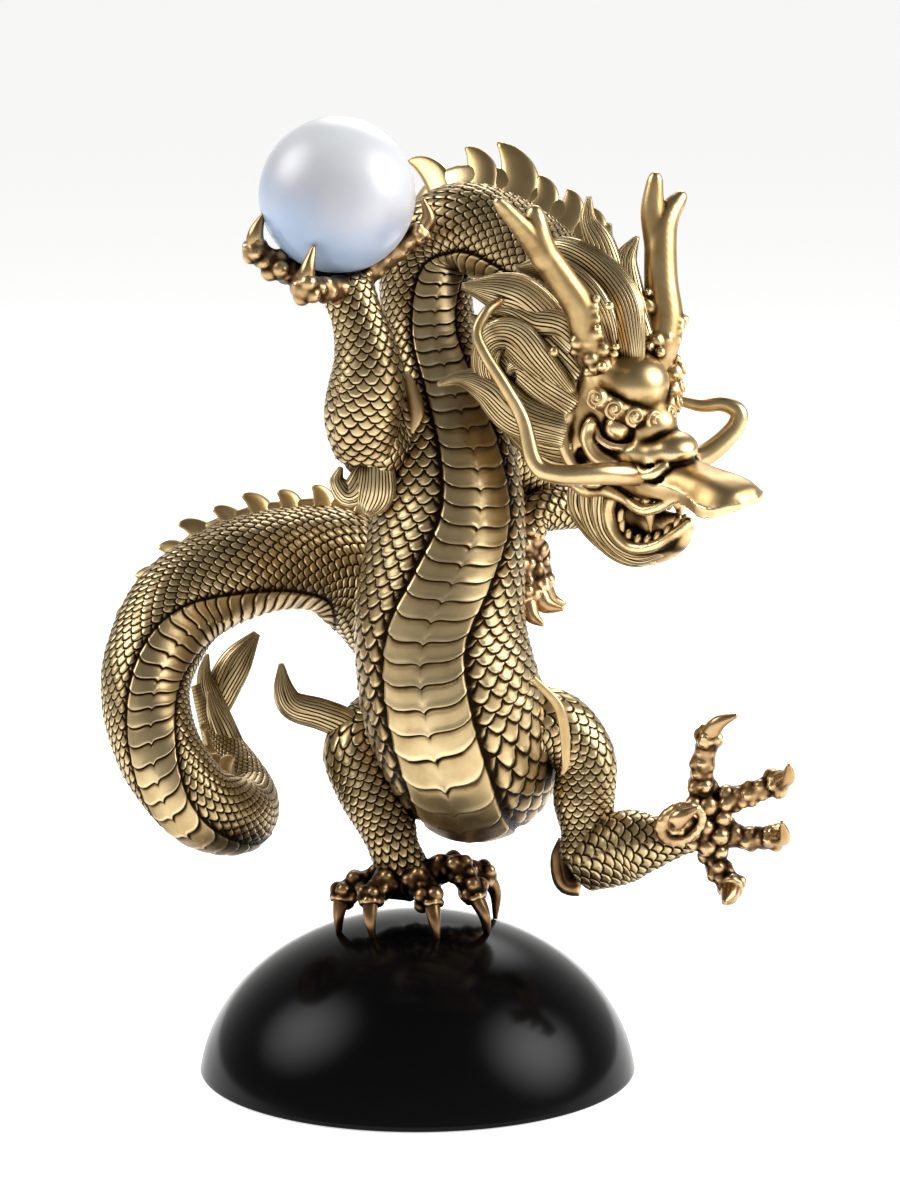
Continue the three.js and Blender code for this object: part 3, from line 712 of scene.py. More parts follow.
class Finish(Enum):
    """The finishes of the piece, by where they are used."""

    SKIN = BronzeFinish("bronze_skin", scaled=True)
    HAIR = BronzeFinish("bronze_hair", combed=True, wear=0.06)
    FACE = BronzeFinish(
        "bronze_face", brown=(0.11, 0.060, 0.022), middle=(0.43, 0.29, 0.125), bright=(0.85, 0.66, 0.37),
        roughness=(0.46, 0.27), wear=-0.02, grain=0.06,
    )
    FEET = BronzeFinish(
        "bronze_feet", brown=(0.085, 0.042, 0.018), middle=(0.36, 0.225, 0.105), bright=(0.83, 0.61, 0.34),
        roughness=(0.40, 0.24), wear=-0.10, grain=0.05,
    )
    CLAWS = BronzeFinish(
        "bronze_claws", brown=(0.11, 0.055, 0.022), middle=(0.40, 0.25, 0.115), bright=(0.82, 0.60, 0.33),
        roughness=(0.34, 0.22), wear=0.0, grain=0.03,
    )
    PEARL = PearlFinish()
    LACQUER = LacquerFinish()


MADE_MATERIALS: dict[str, bpy.types.Material] = {}


def dressed(
    surface: Surface, name: str, finish: Finish, relief_size: float = 0.0, rounds: int = 10,
) -> bpy.types.Object:
    """Makes a surface a piece of the figure that rides on its body.

    Args:
        surface: the form, in model millimetres; marks it already has are kept as they are.
        name: the piece's name.
        finish: what it is dressed in.
        relief_size: height over the surroundings, in millimetres, that counts as fully worn.
        rounds: how far the surroundings reach.

    Returns:
        The piece.
    """
    mesh = bpy.data.meshes.new(name)
    mesh.from_pydata(ORIGIN + surface.vertices * UNIT, [], surface.faces)
    mesh.polygons.foreach_set("use_smooth", np.ones(len(mesh.polygons), bool))
    marks = dict(surface.marks)
    if relief_size:
        if WEAR_AND_PAINTED_SHADING not in marks:
            marks[WEAR_AND_PAINTED_SHADING] = 0.5 + 0.5 * surface.relief(rounds) / relief_size
        if PATINA_AND_SHADE not in marks:
            marks[PATINA_AND_SHADE] = PATINA_AND_SHADE_GRID.at(surface)
        marks[WEAR_AND_PAINTED_SHADING] = np.clip(marks[WEAR_AND_PAINTED_SHADING], 0, 1)
    if NORMAL in marks:
        mesh.normals_split_custom_set_from_vertices(marks.pop(NORMAL))
    for key, values in marks.items():
        layer = mesh.attributes.new(key, "FLOAT", "POINT")
        layer.data.foreach_set("value", values.astype(np.float32))
    piece = bpy.data.objects.new(name, mesh)
    bpy.context.scene.collection.objects.link(piece)
    key = finish.value.name
    if key not in MADE_MATERIALS:
        MADE_MATERIALS[key] = finish.value.material()
    mesh.materials.append(MADE_MATERIALS[key])
    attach(piece, BODY_NAME)
    log.info("%s: %d triangles", name, len(surface.faces))
    return piece


# ------------------------ scales

SCALE_OVERLAP = 1.85        # a scale's length in rows
EDGE_DEPTH = 0.45           # how far its edge runs back at its sides, as a share of its length
EDGE_POWER = 2.3            # how square its edge is


def scale_relief(rows: Array, columns: Array, soft: float = 0.14) -> tuple[Array, Array]:
    """Height, and wear with painted shade, each 0 to 1, of overlapping scales laid in staggered rows.

    A scale climbs from its root to its free tip over its length in rows, and is a little lower toward its
    sides. Its edge is the curve tip = overlap * (1 - depth * |b|^power), with b across it from -1 to 1.
    Where the row before still covers a place, its height is taken instead.

    Args:
        rows: place along the skin, one whole number a row.
        columns: place around it, one whole number a scale.
        soft: width of its edge's slope, in rows.

    Returns:
        The height, and the wear with painted shade, at every place.
    """
    def scale(first: Array) -> tuple[Array, Array]:
        """A scale's height, and how far the place lies inside its edge."""
        a = rows - first
        c = columns - 0.5 * np.mod(first, 2)
        b = 2 * np.abs(c - np.round(c))
        tip = SCALE_OVERLAP * (1 - EDGE_DEPTH * b**EDGE_POWER)
        body = (np.clip(a, 0, None) / SCALE_OVERLAP) ** 0.9 * (1 - 0.16 * b**2)
        ridge = 0.10 * np.exp(-((b / 0.16) ** 2)) * np.clip(a / SCALE_OVERLAP, 0, 1)
        return body + ridge, tip - a

    row = np.floor(rows)
    under, _ = scale(row)
    over, left = scale(row - 1)
    covers = smoothstep(left / soft)
    height = under * (1 - covers) + over * covers
    # Painted shade: a scale is darker toward its root, under the edge of the scale before, and paler toward its
    # tip.
    wear = 0.55 + 0.50 * (height - 0.60)
    return height, wear


# ------------------------ body

@dataclass
class Body:
    """The long body from nape to tail: belly plates, scaled flanks and back, and the crest of flames."""

    line: Points = (
        (62, -19, 250, 11, -0.7, -0.3, -0.6), (50, -6, 271, 14, -0.6, -0.4, -0.7),
        (33, 5, 285, 15, -0.2, -0.5, -0.85), (15, 12, 290, 15.5, 0.3, -0.6, -0.75),
        (4, 15, 279, 15.5, 0.4, -0.85, -0.3), (4, 10, 256, 15.5, 0.15, -1, 0), (8, 3, 235, 17.5, 0.25, -1, 0),
        (11, -2, 217, 21.5, 0.35, -0.95, 0), (11, -5, 197, 25, 0.4, -0.9, 0), (9, -7, 176, 27, 0.18, -1, 0),
        (8, -8, 156, 28.5, -0.08, -1, 0), (11, -7, 135, 30, -0.13, -1, -0.1),
        (16, -2, 119, 30, -0.1, -0.85, -0.5), (20, 13, 108, 29, 0, -0.25, -1), (21, 38, 110, 27, 0, 0.6, -0.8),
        (12, 54, 127, 25, 0.1, 1, -0.2), (-5, 56, 149, 22, 0.3, 0.7, -0.6), (-26, 50, 168, 19, 0.2, 0.1, -1),
        (-45, 42, 172, 17.3, 0, -0.35, -1), (-64, 32, 169, 17, 0.3, -0.5, -0.8),
        (-82, 22, 159, 16.6, 0.55, -0.75, -0.4), (-91, 10, 144, 15.7, 0.4, -0.9, 0),
        (-93, 2, 130, 14.8, 0.3, -0.95, 0), (-88, -5, 113, 14.4, 0.1, -0.97, -0.2),
        (-78, -6, 98, 14, -0.15, -0.8, -0.6), (-70, 0, 91, 13.8, 0, -0.5, -0.9),
        (-62, 12, 87, 12.8, 0.3, 0, -1), (-60, 24, 90, 11, 0.7, 0.3, -0.6), (-64, 32, 98, 9, 0.7, 0.7, -0.1),
        (-69, 37, 107, 6.5, 0.5, 0.8, 0.2), (-74, 40, 117, 4, 0.5, 0.8, 0.2), (-78, 41, 127, 2, 0.5, 0.8, 0.2),
    )
    scales_a_side: int = 12
    turn_share: float = 0.475           # where the trunk turns back under itself
    belly_turn: Triple = (0.14, 230, 38)        # radians, the length where it is most, and its spread
    # Degrees of girth either side of the belly's middle that the plates take, at lengths and at the end.
    girth_places: Row = (0, 80, 110, 140, 175, 215, 260, 330, 400, 520)
    girth_degrees: Row = (36, 34, 28, 28, 30, 29, 30, 33, 36, 35, 38)
    flame_pitch: float = 8.8
    # Root's length from the nape, height, lean toward the tail and half-width of the foremost flames.
    front_flames: Points = (
        (14, 6, 6, 4), (21, 8, 8, 4.4), (29, 9, 10, 5), (36, 13.5, 9, 5.6), (44.5, 13.2, 8, 5.4),
        (52.5, 12, 8, 5.2), (60.5, 18.2, 15, 7.0), (69.0, 15.8, 9, 5.4), (76.0, 20.5, 9.7, 4.8), (84, 11, 8, 4.6),
    )
    columns: tuple[int, int] = (34, 126)    # of the skin's grid: over the plates, and round the rest
    plate_pitch: tuple[float, float] = (3.6, 0.09)          # millimetres, and a share of the radius
    plate_rows: Row = (0.0, 0.07, 0.20, 0.35, 0.50, 0.65, 0.79, 0.90, 0.965)
    stretches: tuple[tuple[str, float], ...] = (
        ("neck_skin", 118), ("trunk_skin", 262), ("rump_skin", 400), ("tail_skin", 620),
    )
    control: Array = field(init=False)
    lengths: Array = field(init=False)
    places: Array = field(init=False)

    def __post_init__(self) -> None:
        """Measures the body's length along its curve."""
        self.control = np.array(self.line, float)
        self.places = np.linspace(0, 1, 3000)
        fine = smooth_curve(self.control, self.places)[:, :3]
        self.lengths = np.concatenate([[0], np.cumsum(np.linalg.norm(np.diff(fine, axis=0), axis=1))])

    @property
    def length(self) -> float:
        """Length from nape to tail end."""
        return float(self.lengths[-1])

    def at(self, run: Array) -> tuple[Array, ...]:
        """Centre, radius, way ahead, way of the belly and way of the side at lengths from the nape.

        The belly turns a little to the figure's right over the trunk's lower half.
        """
        t = np.interp(run, self.lengths, self.places)
        rows = smooth_curve(self.control, t)
        before, after = (smooth_curve(self.control, np.clip(t + step, 0, 1)) for step in (-0.002, 0.002))
        ahead = unit_rows(after[:, :3] - before[:, :3])
        belly = square_to(rows[:, 4:7], ahead)
        side = np.cross(ahead, belly)
        most, middle, spread = self.belly_turn
        turn = most * np.exp(-(((run - middle) / spread) ** 2))[:, None]
        belly, side = np.cos(turn) * belly + np.sin(turn) * side, np.cos(turn) * side - np.sin(turn) * belly
        return rows[:, :3], rows[:, 3], ahead, belly, side

    def balls(self) -> Array:
        """Balls that stand for the body."""
        centre, radius, *_ = self.at(np.arange(0, self.length, 3))
        return np.column_stack([centre, radius])

    def counted(self, run: Array, base: float, share: float) -> Array:
        """Running count of things whose pitch is base + share * radius."""
        fine = np.linspace(0, self.length, 3000)
        radius = self.at(fine)[1]
        step = fine[1] - fine[0]
        total = np.concatenate([[0], np.cumsum(step / (base + share * radius[1:]))])
        return np.interp(run, fine, total)

    def plate_half(self, run: Array) -> Array:
        """Half the plates' girth in degrees at lengths from the nape."""
        return np.interp(run, (*self.girth_places, self.length), self.girth_degrees)

    def bow(self, inside: Array) -> Array:
        """How far a plate's edge runs toward the tail across it, in plates: a bracket with a middle point."""
        return 0.15 * np.sin(math.pi * inside) - 0.34 * inside**7 + 0.30 * np.exp(-inside / 0.10)

    def relief(
        self, run: Array, across: Array, radius: Array,
    ) -> tuple[Array, dict[str, Array]]:
        """Height of plates and scales over the skin in millimetres, and how worn and painted-shaded they are.

        A plate climbs to its free edge, which bows toward the tail in a bracket with a point at its middle,
        and drops there to the next. Beyond a groove the flanks carry scales, wider next to the belly.

        Args:
            run: lengths from the nape, of every row and column.
            across: places round the girth, one a column: within 1 of 0 on the plates, from there to 2 at
                the middle of the back.
            radius: the body's radius, of every row and column.

        Returns:
            Heights of every row and column, and the marks that go with them.
        """
        size = np.abs(across)[None, :]
        inside = np.clip(size, 0, 1)
        bow = self.bow(inside)
        phase = self.counted(run, *self.plate_pitch) - bow
        a = phase - np.floor(phase + 1e-6)
        middle = smoothstep(a / 0.2) * (1 - smoothstep((a - 0.55) / 0.35))
        even = np.clip(a + 0.30 * np.exp(-inside / 0.10) * middle, 0, 1)
        lip = np.exp(-(((a - 0.93) / 0.05) ** 2))
        climb = 0.3 + 0.7 * even**2.2 + 0.14 * lip
        gap = np.exp(-np.clip(a, 0, 1) / 0.075)
        thick = 0.050 * radius
        plates = thick * (climb - 0.9 * gap + 0.2) * (1 - 0.3 * inside**2)
        # Painted shade: dark lines at the plates' seams, under each plate's free edge.
        dark = np.maximum(gap, np.exp(-(1 - a) / 0.02))
        plate_wear_and_shade = 0.60 + 0.16 * even + 0.30 * lip - 0.80 * dark - 0.12 * inside**4

        beyond = np.clip(size - 1, 0, 1)
        columns = self.scales_a_side * (0.80 * beyond + 0.20 * beyond**2) + 0.5 + 0 * run
        rows = self.counted(run, 0.95, 0.085)
        height, scale_wear_and_shade = scale_relief(rows, columns)
        scales = (0.16 + 0.040 * radius) * height - 0.17

        over = smoothstep((size - 0.97) / 0.07)
        line = np.exp(-(((size - 1.0) / 0.035) ** 2))
        groove = 0.030 * radius * line
        tail_out = 0.3 + 0.7 * smoothstep((self.length - run) / 20)
        marks = {
            WEAR_AND_PAINTED_SHADING: plate_wear_and_shade * (1 - over) + scale_wear_and_shade * over - 0.6 * line,
            ROWS: np.where(size > 1, rows, 0.5),
            COLUMNS: np.where(size > 1, columns, 0.0),
        }
        return (plates * (1 - over) + scales * over - groove) * tail_out, marks

    def skin(self) -> tuple[Surface, Array, list[int]]:
        """The whole skin: centre + (radius + relief) * (cos * belly + sin * side).

        Returns:
            The surface with its marks, its rings, and the row at which each stretch ends.
        """
        plates = np.arange(math.floor(float(self.counted(np.array([self.length]), *self.plate_pitch)[0])) + 1)
        phases = (plates[:, None] + np.array(self.plate_rows)[None, :]).ravel()
        fine = np.linspace(0, self.length, 3000)
        run = np.interp(phases, self.counted(fine, *self.plate_pitch), fine)
        run = run[np.concatenate([[True], np.diff(run) > 1e-3])]
        ends = [int(np.searchsorted(run, end)) for _, end in self.stretches]
        plate, flank = self.columns
        across = np.concatenate([
            np.linspace(-1, 1, plate, endpoint=False), np.linspace(1, 3, flank, endpoint=False),
        ])
        across = np.where(across > 2, across - 4, across)
        size, sign = np.abs(across)[None, :], np.sign(across)[None, :]

        # Each row of the grid follows the plates' edges, and straightens out over the first scales.
        pitch = self.plate_pitch[0] + self.plate_pitch[1] * self.at(run)[1]
        shift = self.bow(np.clip(size, 0, 1)) * (1 - smoothstep((size - 1) / 0.25)) * pitch[:, None]
        spread = np.clip(run[:, None] + shift, 0, self.length)
        frames = np.column_stack([part.reshape(len(fine), -1) for part in self.at(fine)])
        place = np.clip(spread / self.length * (len(fine) - 1), 0, len(fine) - 1.001)
        base = place.astype(int)
        share = (place - base)[..., None]
        frames = frames[base] * (1 - share) + frames[base + 1] * share
        centre, radius, belly, side = frames[..., :3], frames[..., 3], frames[..., 7:10], frames[..., 10:13]
        half = self.plate_half(spread)
        degrees = sign * np.where(size <= 1, size * half, half + (size - 1) * (180 - half))
        height, marks = self.relief(spread, across, radius)
        angle = np.radians(degrees)[..., None]
        rings = centre + (radius + height)[..., None] * (np.cos(angle) * belly + np.sin(angle) * side)
        whole = tube(rings)
        measured = 0.5 + 0.5 * whole.relief(10)[:-2] / 0.3
        whole.marks = {
            WEAR_AND_PAINTED_SHADING: 0.80 * marks[WEAR_AND_PAINTED_SHADING].ravel() + 0.20 * np.clip(measured, 0, 1),
            ROWS: marks[ROWS].ravel(),
            COLUMNS: marks[COLUMNS].ravel(),
            PATINA_AND_SHADE: PATINA_AND_SHADE_GRID.at(whole)[:-2],
            NORMAL: whole.normals()[:-2],
        }
        return whole, rings, ends

    def stretch(self, whole: Surface, rings: Array, first: int, last: int) -> Surface:
        """The rows from first to last as a closed piece that keeps the whole skin's marks and normals."""
        around = rings.shape[1]
        piece = tube(rings[first:last])
        for name, values in whole.marks.items():
            part = values[first * around:last * around]
            ends = np.stack([part[:around].mean(0), part[-around:].mean(0)])
            piece.marks[name] = np.concatenate([part, ends])
        return piece

    def flame_height(self, run: Array) -> Array:
        """Height of the crest: tall over the neck, low on the tail, gone in the fold and at the ends."""
        share = run / self.length
        over_neck = np.exp(-(((share - 0.11) / 0.07) ** 2))
        in_fold = np.exp(-(((share - self.turn_share) / 0.1) ** 4))
        fade = np.clip(np.minimum((1 - share) * 9, share * 30), 0, 1)
        return (7.5 + 9 * over_neck) * fade * (1 - in_fold)

    def crest(self) -> Surface:
        """Flames along the back: each a flat fin whose middle line rises, leans and hooks toward the tail.

        The middle line at s (0..1) stands s^0.9 of the height out of the back, bending over near its end,
        and runs s^2.2 of the lean toward the tail. Its half-width falls as (1 - s^2.3)^0.85.
        """
        back = np.arange(93, self.length - 10, self.flame_pitch)
        rng = np.random.default_rng(11)
        high = self.flame_height(back) * rng.uniform(0.80, 1.12, len(back))
        rest = np.column_stack([back, high, 0.8 * high, np.minimum(4.4, 1.2 + 0.55 * high)])
        flames = np.vstack([self.front_flames, rest[high > 1.5]])
        rows, around = 18, 14
        s = np.linspace(0, 1, rows)
        angle = turn_of(around)
        surfaces = [self.web(flames)]
        for root, high, lean, wide in flames:
            centre, radius, ahead, belly, side = self.at(np.full(rows, root))
            lift = radius - 1.6 + (high + 1.6) * s**0.9 * (1 - 0.10 * s**6)
            middle = centre - belly * lift[:, None] + ahead * (lean * s**2.2)[:, None]
            rise = unit_rows(np.gradient(middle, axis=0))
            across = square_to(ahead, rise)
            half = wide * (1 - s**2.3) ** 0.85 + 0.5
            thick = 0.6 + 1.5 * (1 - s)
            rings = middle[:, None] + (
                np.cos(angle)[None, :, None] * (half[:, None, None] * across[:, None])
                + np.sin(angle)[None, :, None] * (thick[:, None, None] * side[:, None])
            )
            surfaces.append(tube(rings))
        return join(surfaces)

    def web(self, flames: Array) -> Surface:
        """The fin that the flames grow from: an egg section, about half as high as the flames, along the back."""
        run = np.arange(flames[0, 0] - 3, flames[-1, 0] + 3, 2.0)
        share = np.interp(run, (84, 110), (0.62, 0.42))
        high = share * np.interp(run, flames[:, 0], np.minimum(flames[:, 1], 14))
        high = high * smoothstep((run - run[0]) / 5) * smoothstep((run[-1] - run) / 5) + 0.1
        centre, radius, _, belly, side = self.at(run)
        angle = turn_of(14)[None, :, None]
        up = (radius - 1.6)[:, None, None] + (high + 1.6)[:, None, None] * (0.5 - 0.5 * np.cos(angle))
        out = 1.7 * np.sin(angle) * (0.8 + 0.2 * np.cos(angle))
        return tube(centre[:, None] - belly[:, None] * up + side[:, None] * out)

    def build(self) -> Pieces:
        """Makes the skin in its stretches, and the crest."""
        whole, rings, ends = self.skin()
        pieces, first = [], 0
        for (name, _), last in zip(self.stretches, ends):
            surface = self.stretch(whole, rings, first, min(last + 1, len(rings)))
            pieces.append(dressed(surface, name, Finish.SKIN, relief_size=0.3))
            first = last
        pieces.append(dressed(self.crest(), "back_crest", Finish.FACE, relief_size=0.9, rounds=5))
        return pieces


# ------------------------ limbs

@dataclass
class Limbs:
    """Four scaled limbs, each a chain of swelling stretches."""

    paths: dict[str, Points] = field(default_factory=lambda: {
        "right_upper_arm": ((3, 0, 223, 12), (-4, -4, 226, 13), (-11, -10, 221, 12.5), (-17, -17, 221, 12)),
        "right_forearm": (
            (-17, -18, 219, 10.5), (-18, -22, 231, 12.5), (-16, -24, 244, 12.3),
            (-17, -24, 255, 10), (-20, -23, 266, 8.3), (-23, -21, 274, 8.5),
        ),
        "left_arm": ((25, 14, 214, 11), (37, 24, 206, 10.5), (49, 28, 198, 9.5), (60, 26, 193, 8.5)),
        "left_forearm": ((61, 25, 194, 8.4), (50, 18, 194, 7.5), (40, 12, 192, 6.4), (38, 10, 186, 5.6)),
        "left_thigh": (
            (33, -2, 118, 17), (47, -4, 121, 13), (57, -6, 111, 10.5),
            (57, -8, 97, 10.3), (58, -10, 87, 8.8), (58, -12, 78, 9),
        ),
        "left_shin": (
            (56, -12, 73, 8), (62, -14, 78, 11), (72, -16, 83, 12),
            (81, -19, 85, 8.8), (88, -21, 87, 6.4), (97, -23, 92, 7.5),
        ),
        "right_leg": (
            (-1, 22, 121, 16), (-15, 20, 113, 14), (-21, 14, 108, 11.5), (-16, 8, 97, 11.5),
            (-11, 3, 87, 10), (-8, 0, 78, 8.4), (-5, 1, 69, 9),
        ),
    })
    scale_width: float = 4.4
    made: dict[str, Array] = field(default_factory=dict)         # marks of the limb made last

    def balls(self) -> Array:
        """Balls that stand for the limbs."""
        return np.vstack([even_curve(path, 24)[0] for path in self.paths.values()])

    def scaled(self, path: Points, toward_end: bool) -> Section:
        """Section of a limb: overlapping scales whose count round it suits its mean girth."""
        mean = float(np.mean([row[3] for row in path]))
        count = 2 * round(math.pi * mean / self.scale_width)
        pitch = 0.48 * 2 * math.pi * mean / count

        def section(run: Array, radius: Array, angle: Array) -> Array:
            """The scales' height as a share of the radius; keeps their marks."""
            columns = angle / (2 * math.pi) * count
            length = run / pitch if toward_end else (run.max() - run) / pitch
            rows = length + 0 * columns
            # The scales' wear includes their painted shade, darker at each covered root.
            height, wear = scale_relief(rows, columns + 0 * run)
            self.made = {WEAR_AND_PAINTED_SHADING: wear, ROWS: rows, COLUMNS: columns + 0 * run}
            return 1 + (0.72 * height - 0.2) / radius
        return section

    def build(self) -> Pieces:
        """Makes every limb and rounds its ends into its neighbour."""
        pieces = []
        for name, path in self.paths.items():
            before, last = np.array(path[-2:])
            rounded = (*path, (*(1.5 * last - 0.5 * before)[:3], 0.55 * last[3]))
            length = even_curve(rounded, 2)[1][-1]
            toward_end = name != "right_forearm"
            surface = sweep(rounded, int(length / 0.60), 94, section=self.scaled(path, toward_end))
            measured = np.clip(0.5 + 0.5 * surface.relief(10) / 0.26, 0, 1)
            surface.marks = {mark: np.append(values.ravel(), [0.5, 0.5]) for mark, values in self.made.items()}
            surface.marks[WEAR_AND_PAINTED_SHADING] = 0.8 * surface.marks[WEAR_AND_PAINTED_SHADING] + 0.2 * measured
            pieces.append(dressed(surface, name, Finish.SKIN, relief_size=0.26))
        return pieces


# ------------------------ feet, hands and claws

@dataclass
class Feet:
    """Two hands and two feet: knuckled toes of warty bulbs and pads, and smooth curved claws."""

    toes: dict[str, tuple[Points, ...]] = field(default_factory=lambda: {
        "right_hand": (
            ((-25, -20, 275, 6), (-38, -23, 278, 5.4), (-46, -25, 281.5, 5.2), (-53, -26, 287, 4.7)),
            ((-23, -24, 274, 6), (-30, -36, 275, 4.6), (-36, -42, 276, 5)),
            ((-22, -18, 274, 6), (-14, -14, 280, 4.8), (-6, -13, 286, 4.4), (1, -13, 291, 4.3)),
            ((-24, -16, 274, 6), (-28, -2, 277, 4.8), (-32, 8, 283, 4.4), (-34, 12, 290, 4.4)),
        ),
        "left_hand": (
            ((38, 10, 187, 5.5), (38, 8, 179, 4.5), (40, 6, 174, 3.9), (41, 4, 169, 4.3)),
            ((37, 9, 184, 5), (36, 3, 176, 4.2), (37, 0, 167, 4.5)),
            ((38, 12, 185, 5), (42, 14, 177, 4.2), (43, 16, 169, 4.4)),
        ),
        "left_foot": (
            ((98, -25, 96, 6.5), (96, -28, 107, 5), (96, -30, 115, 4.6), (98, -32, 124, 4.8)),
            ((101, -26, 97, 5.8), (105, -28, 102, 5), (112, -29, 104, 4.5), (121, -31, 108, 4.7)),
            ((101, -25, 93, 5.8), (106, -26, 89, 4.9), (112, -27, 88, 4.4), (120, -29, 89, 4.7)),
            ((99, -24, 89, 6.2), (100, -25, 83, 5), (102, -26, 77, 4.7), (106, -28, 72, 5)),
            ((96, -25, 91, 5.5), (91, -32, 94, 5.5), (87, -38, 96, 5.6)),
        ),
        "right_foot": (
            ((-8, 2, 66, 6.5), (-14, 0, 67, 5.3), (-21, -3, 66, 4.8), (-25, -5, 63, 4.7)),
            ((-7, -2, 66, 6.5), (-11, -8, 68, 5.3), (-16, -13, 64, 4.9)),
            ((-4, -3, 66, 6.5), (0, -10, 69, 5.3), (4, -15, 64, 4.9)),
            ((1, 2, 67, 6.5), (8, 0, 71, 5.6), (14, -3, 71.5, 5.4), (19, -7, 65, 4.9)),
            ((3, 6, 67, 6.5), (13, 10, 69, 5.2), (23, 14, 65, 4.8)),
        ),
    })
    claws: dict[str, tuple[Points, ...]] = field(default_factory=lambda: {
        "right_hand": (
            ((-53, -26, 288, 3.3), (-52.5, -27, 293, 2.5), (-50, -26, 299, 0.6)),
            ((-36, -42, 277, 3.2), (-35, -43, 283, 2.4), (-33, -41, 290, 0.6)),
            ((1, -13, 291, 3.2), (4, -13, 296, 2.4), (2, -14, 303, 0.6)),
            ((-34, 12, 291, 3.2), (-34, 13, 297, 2.4), (-32, 10, 304, 0.6)),
        ),
        "left_hand": (
            ((41, 3, 167, 3.6), (44, 2, 163, 3), (50, 1, 161.5, 0.6)),
            ((37, -1, 165, 3.4), (39, -3, 160, 2.6), (43, -5, 157, 0.6)),
            ((43, 16, 167, 3.4), (46, 17, 162, 2.6), (51, 18, 160, 0.6)),
        ),
        "left_foot": (
            ((98, -33, 125, 3.2), (101, -36, 130, 2.5), (107, -38, 133, 0.6)),
            ((121, -33, 109, 3.2), (124, -38, 112, 2.7), (124, -42, 117, 0.6)),
            ((120, -31, 90, 3.2), (123, -36, 91, 2.7), (122, -40, 97, 0.6)),
            ((106, -30, 72, 3.4), (105, -35, 70, 2.9), (103, -40, 69, 0.7)),
            ((86, -41, 97, 3.6), (88, -45, 100, 3.1), (94, -45, 103, 0.7)),
        ),
        "right_foot": (
            ((-26, -6, 62, 2.9), (-27, -8, 56, 2.0), (-27, -7, 48, 0.8)),
            ((-16, -15, 63, 2.9), (-16, -18, 57, 2.0), (-15, -18, 50, 0.8)),
            ((5, -17, 63, 2.9), (6, -20, 57, 2.1), (7, -20, 49, 0.8)),
            ((20, -9, 63, 2.9), (23, -11, 57, 2.1), (24, -10, 49, 0.8)),
            ((24, 15, 64, 2.9), (27, 16, 58, 2.1), (27, 15, 49, 0.8)),
        ),
    })
    palms: dict[str, Row] = field(default_factory=lambda: {
        "right_hand": (-24, -19, 275, 9.5, 8.5, 4.5),
        "left_hand": (38, 10, 184, 5.5, 6, 5.5),
        "left_foot": (98, -25, 92, 7, 6, 8.5),
        "right_foot": (-3, 1, 67.5, 11, 9, 6.5),
    })
    sole_pads: Points = (
        (98, -30, 100, 3.6), (103, -30, 96, 3.2), (97, -31, 93, 3.2), (102, -31, 90, 3.2), (97.5, -30, 86, 3.4),
        (93, -30, 87, 2.6), (102, -29, 84, 2.6), (93, -30, 101, 2.8),
    )
    # The ring that the raised foot's thumb claw lies in: its middle, its axes and the ball behind it.
    collar: Triple = (88.5, -42.5, 97.0)
    collar_axes: Points = ((0.86, -0.1, 0.5, 7.4), (-0.45, -0.15, 0.88, 5.4))
    collar_back: Row = (0.6, 2.6, -0.3, 5.6, 2.6, 4.4)
    step: float = 0.56

    def balls(self) -> Array:
        """Balls that stand for the toes and claws."""
        chains = [*self.toes.values(), *self.claws.values()]
        return np.vstack([even_curve(path, 8)[0] for group in chains for path in group])

    @staticmethod
    def pads(
        clay: Clay, centre: Array, radius: float, ahead: Array, turn: float, count: int = 5,
    ) -> None:
        """Adds a ring of rounded pads about a joint, each over half its size."""
        across = square_to(np.array([0.31, -0.83, 0.47]), ahead)
        third = np.cross(ahead, across)
        for angle in np.arange(count) * 2 * math.pi / count + turn:
            size = radius * (0.56 + 0.09 * math.sin(5 * angle + centre[0]))
            spot = centre + radius * 0.62 * (math.cos(angle) * across + math.sin(angle) * third)
            spot = spot + ahead * radius * 0.22 * math.cos(3 * angle + centre[2])
            clay.ball((*spot, size), soft=0.4)

    def toe(self, clay: Clay, joints: Points, claw: Points, turn: float) -> None:
        """One toe: thin stretches, a bulb with pads at each joint, and a thick cuticle round the claw."""
        rows = np.array(joints, float)
        thin = rows.copy()
        thin[:, 3] *= 0.80
        clay.rod(thin, soft=1.2)
        ahead = unit_rows(np.gradient(rows[:, :3], axis=0))
        for k, (row, way) in enumerate(zip(rows, ahead)):
            last = k == len(rows) - 1
            size = row[3] * (0.84 if not last else 0.9)
            clay.ball((*row[:3], size), soft=1.0)
            if k:
                self.pads(clay, row[:3], row[3] * (0.98 if last else 0.92), way, turn + k)
        for a, b, way in zip(rows[:-1], rows[1:], ahead[1:]):
            middle = (a + b) / 2
            self.pads(clay, middle[:3], middle[3] * 0.80, way, turn + 0.5, count=4)
        root = np.array(claw[0], float)
        out = unit_rows(np.array(claw[1][:3], float) - root[:3])
        across = square_to(np.array([0.2, 0.5, 0.8]), out)
        third = np.cross(out, across)
        angles = np.linspace(0, 2 * math.pi, 9)
        ring = root[:3] + (root[3] - 0.1) * (
            np.cos(angles)[:, None] * across + np.sin(angles)[:, None] * third) + 0.2 * out
        clay.rod(tuple((*p, 1.25 + 0.3 * math.sin(3 * a + turn)) for p, a in zip(ring, angles)), soft=0.5)

    def thumb_collar(self, clay: Clay) -> None:
        """The broad folded ring that the raised foot's thumb claw lies in."""
        angles = np.linspace(0, 2 * math.pi, 17)
        centre = np.array(self.collar)
        (*across, wide), (*upward, high) = self.collar_axes
        ring = centre + wide * np.cos(angles)[:, None] * across + high * np.sin(angles)[:, None] * upward
        clay.rod(tuple((*p, 1.8 + 0.5 * math.cos(a - 2.6)) for p, a in zip(ring, angles)), soft=0.8)
        clay.ball((*(centre + self.collar_back[:3]), *self.collar_back[3:]), soft=1.2)

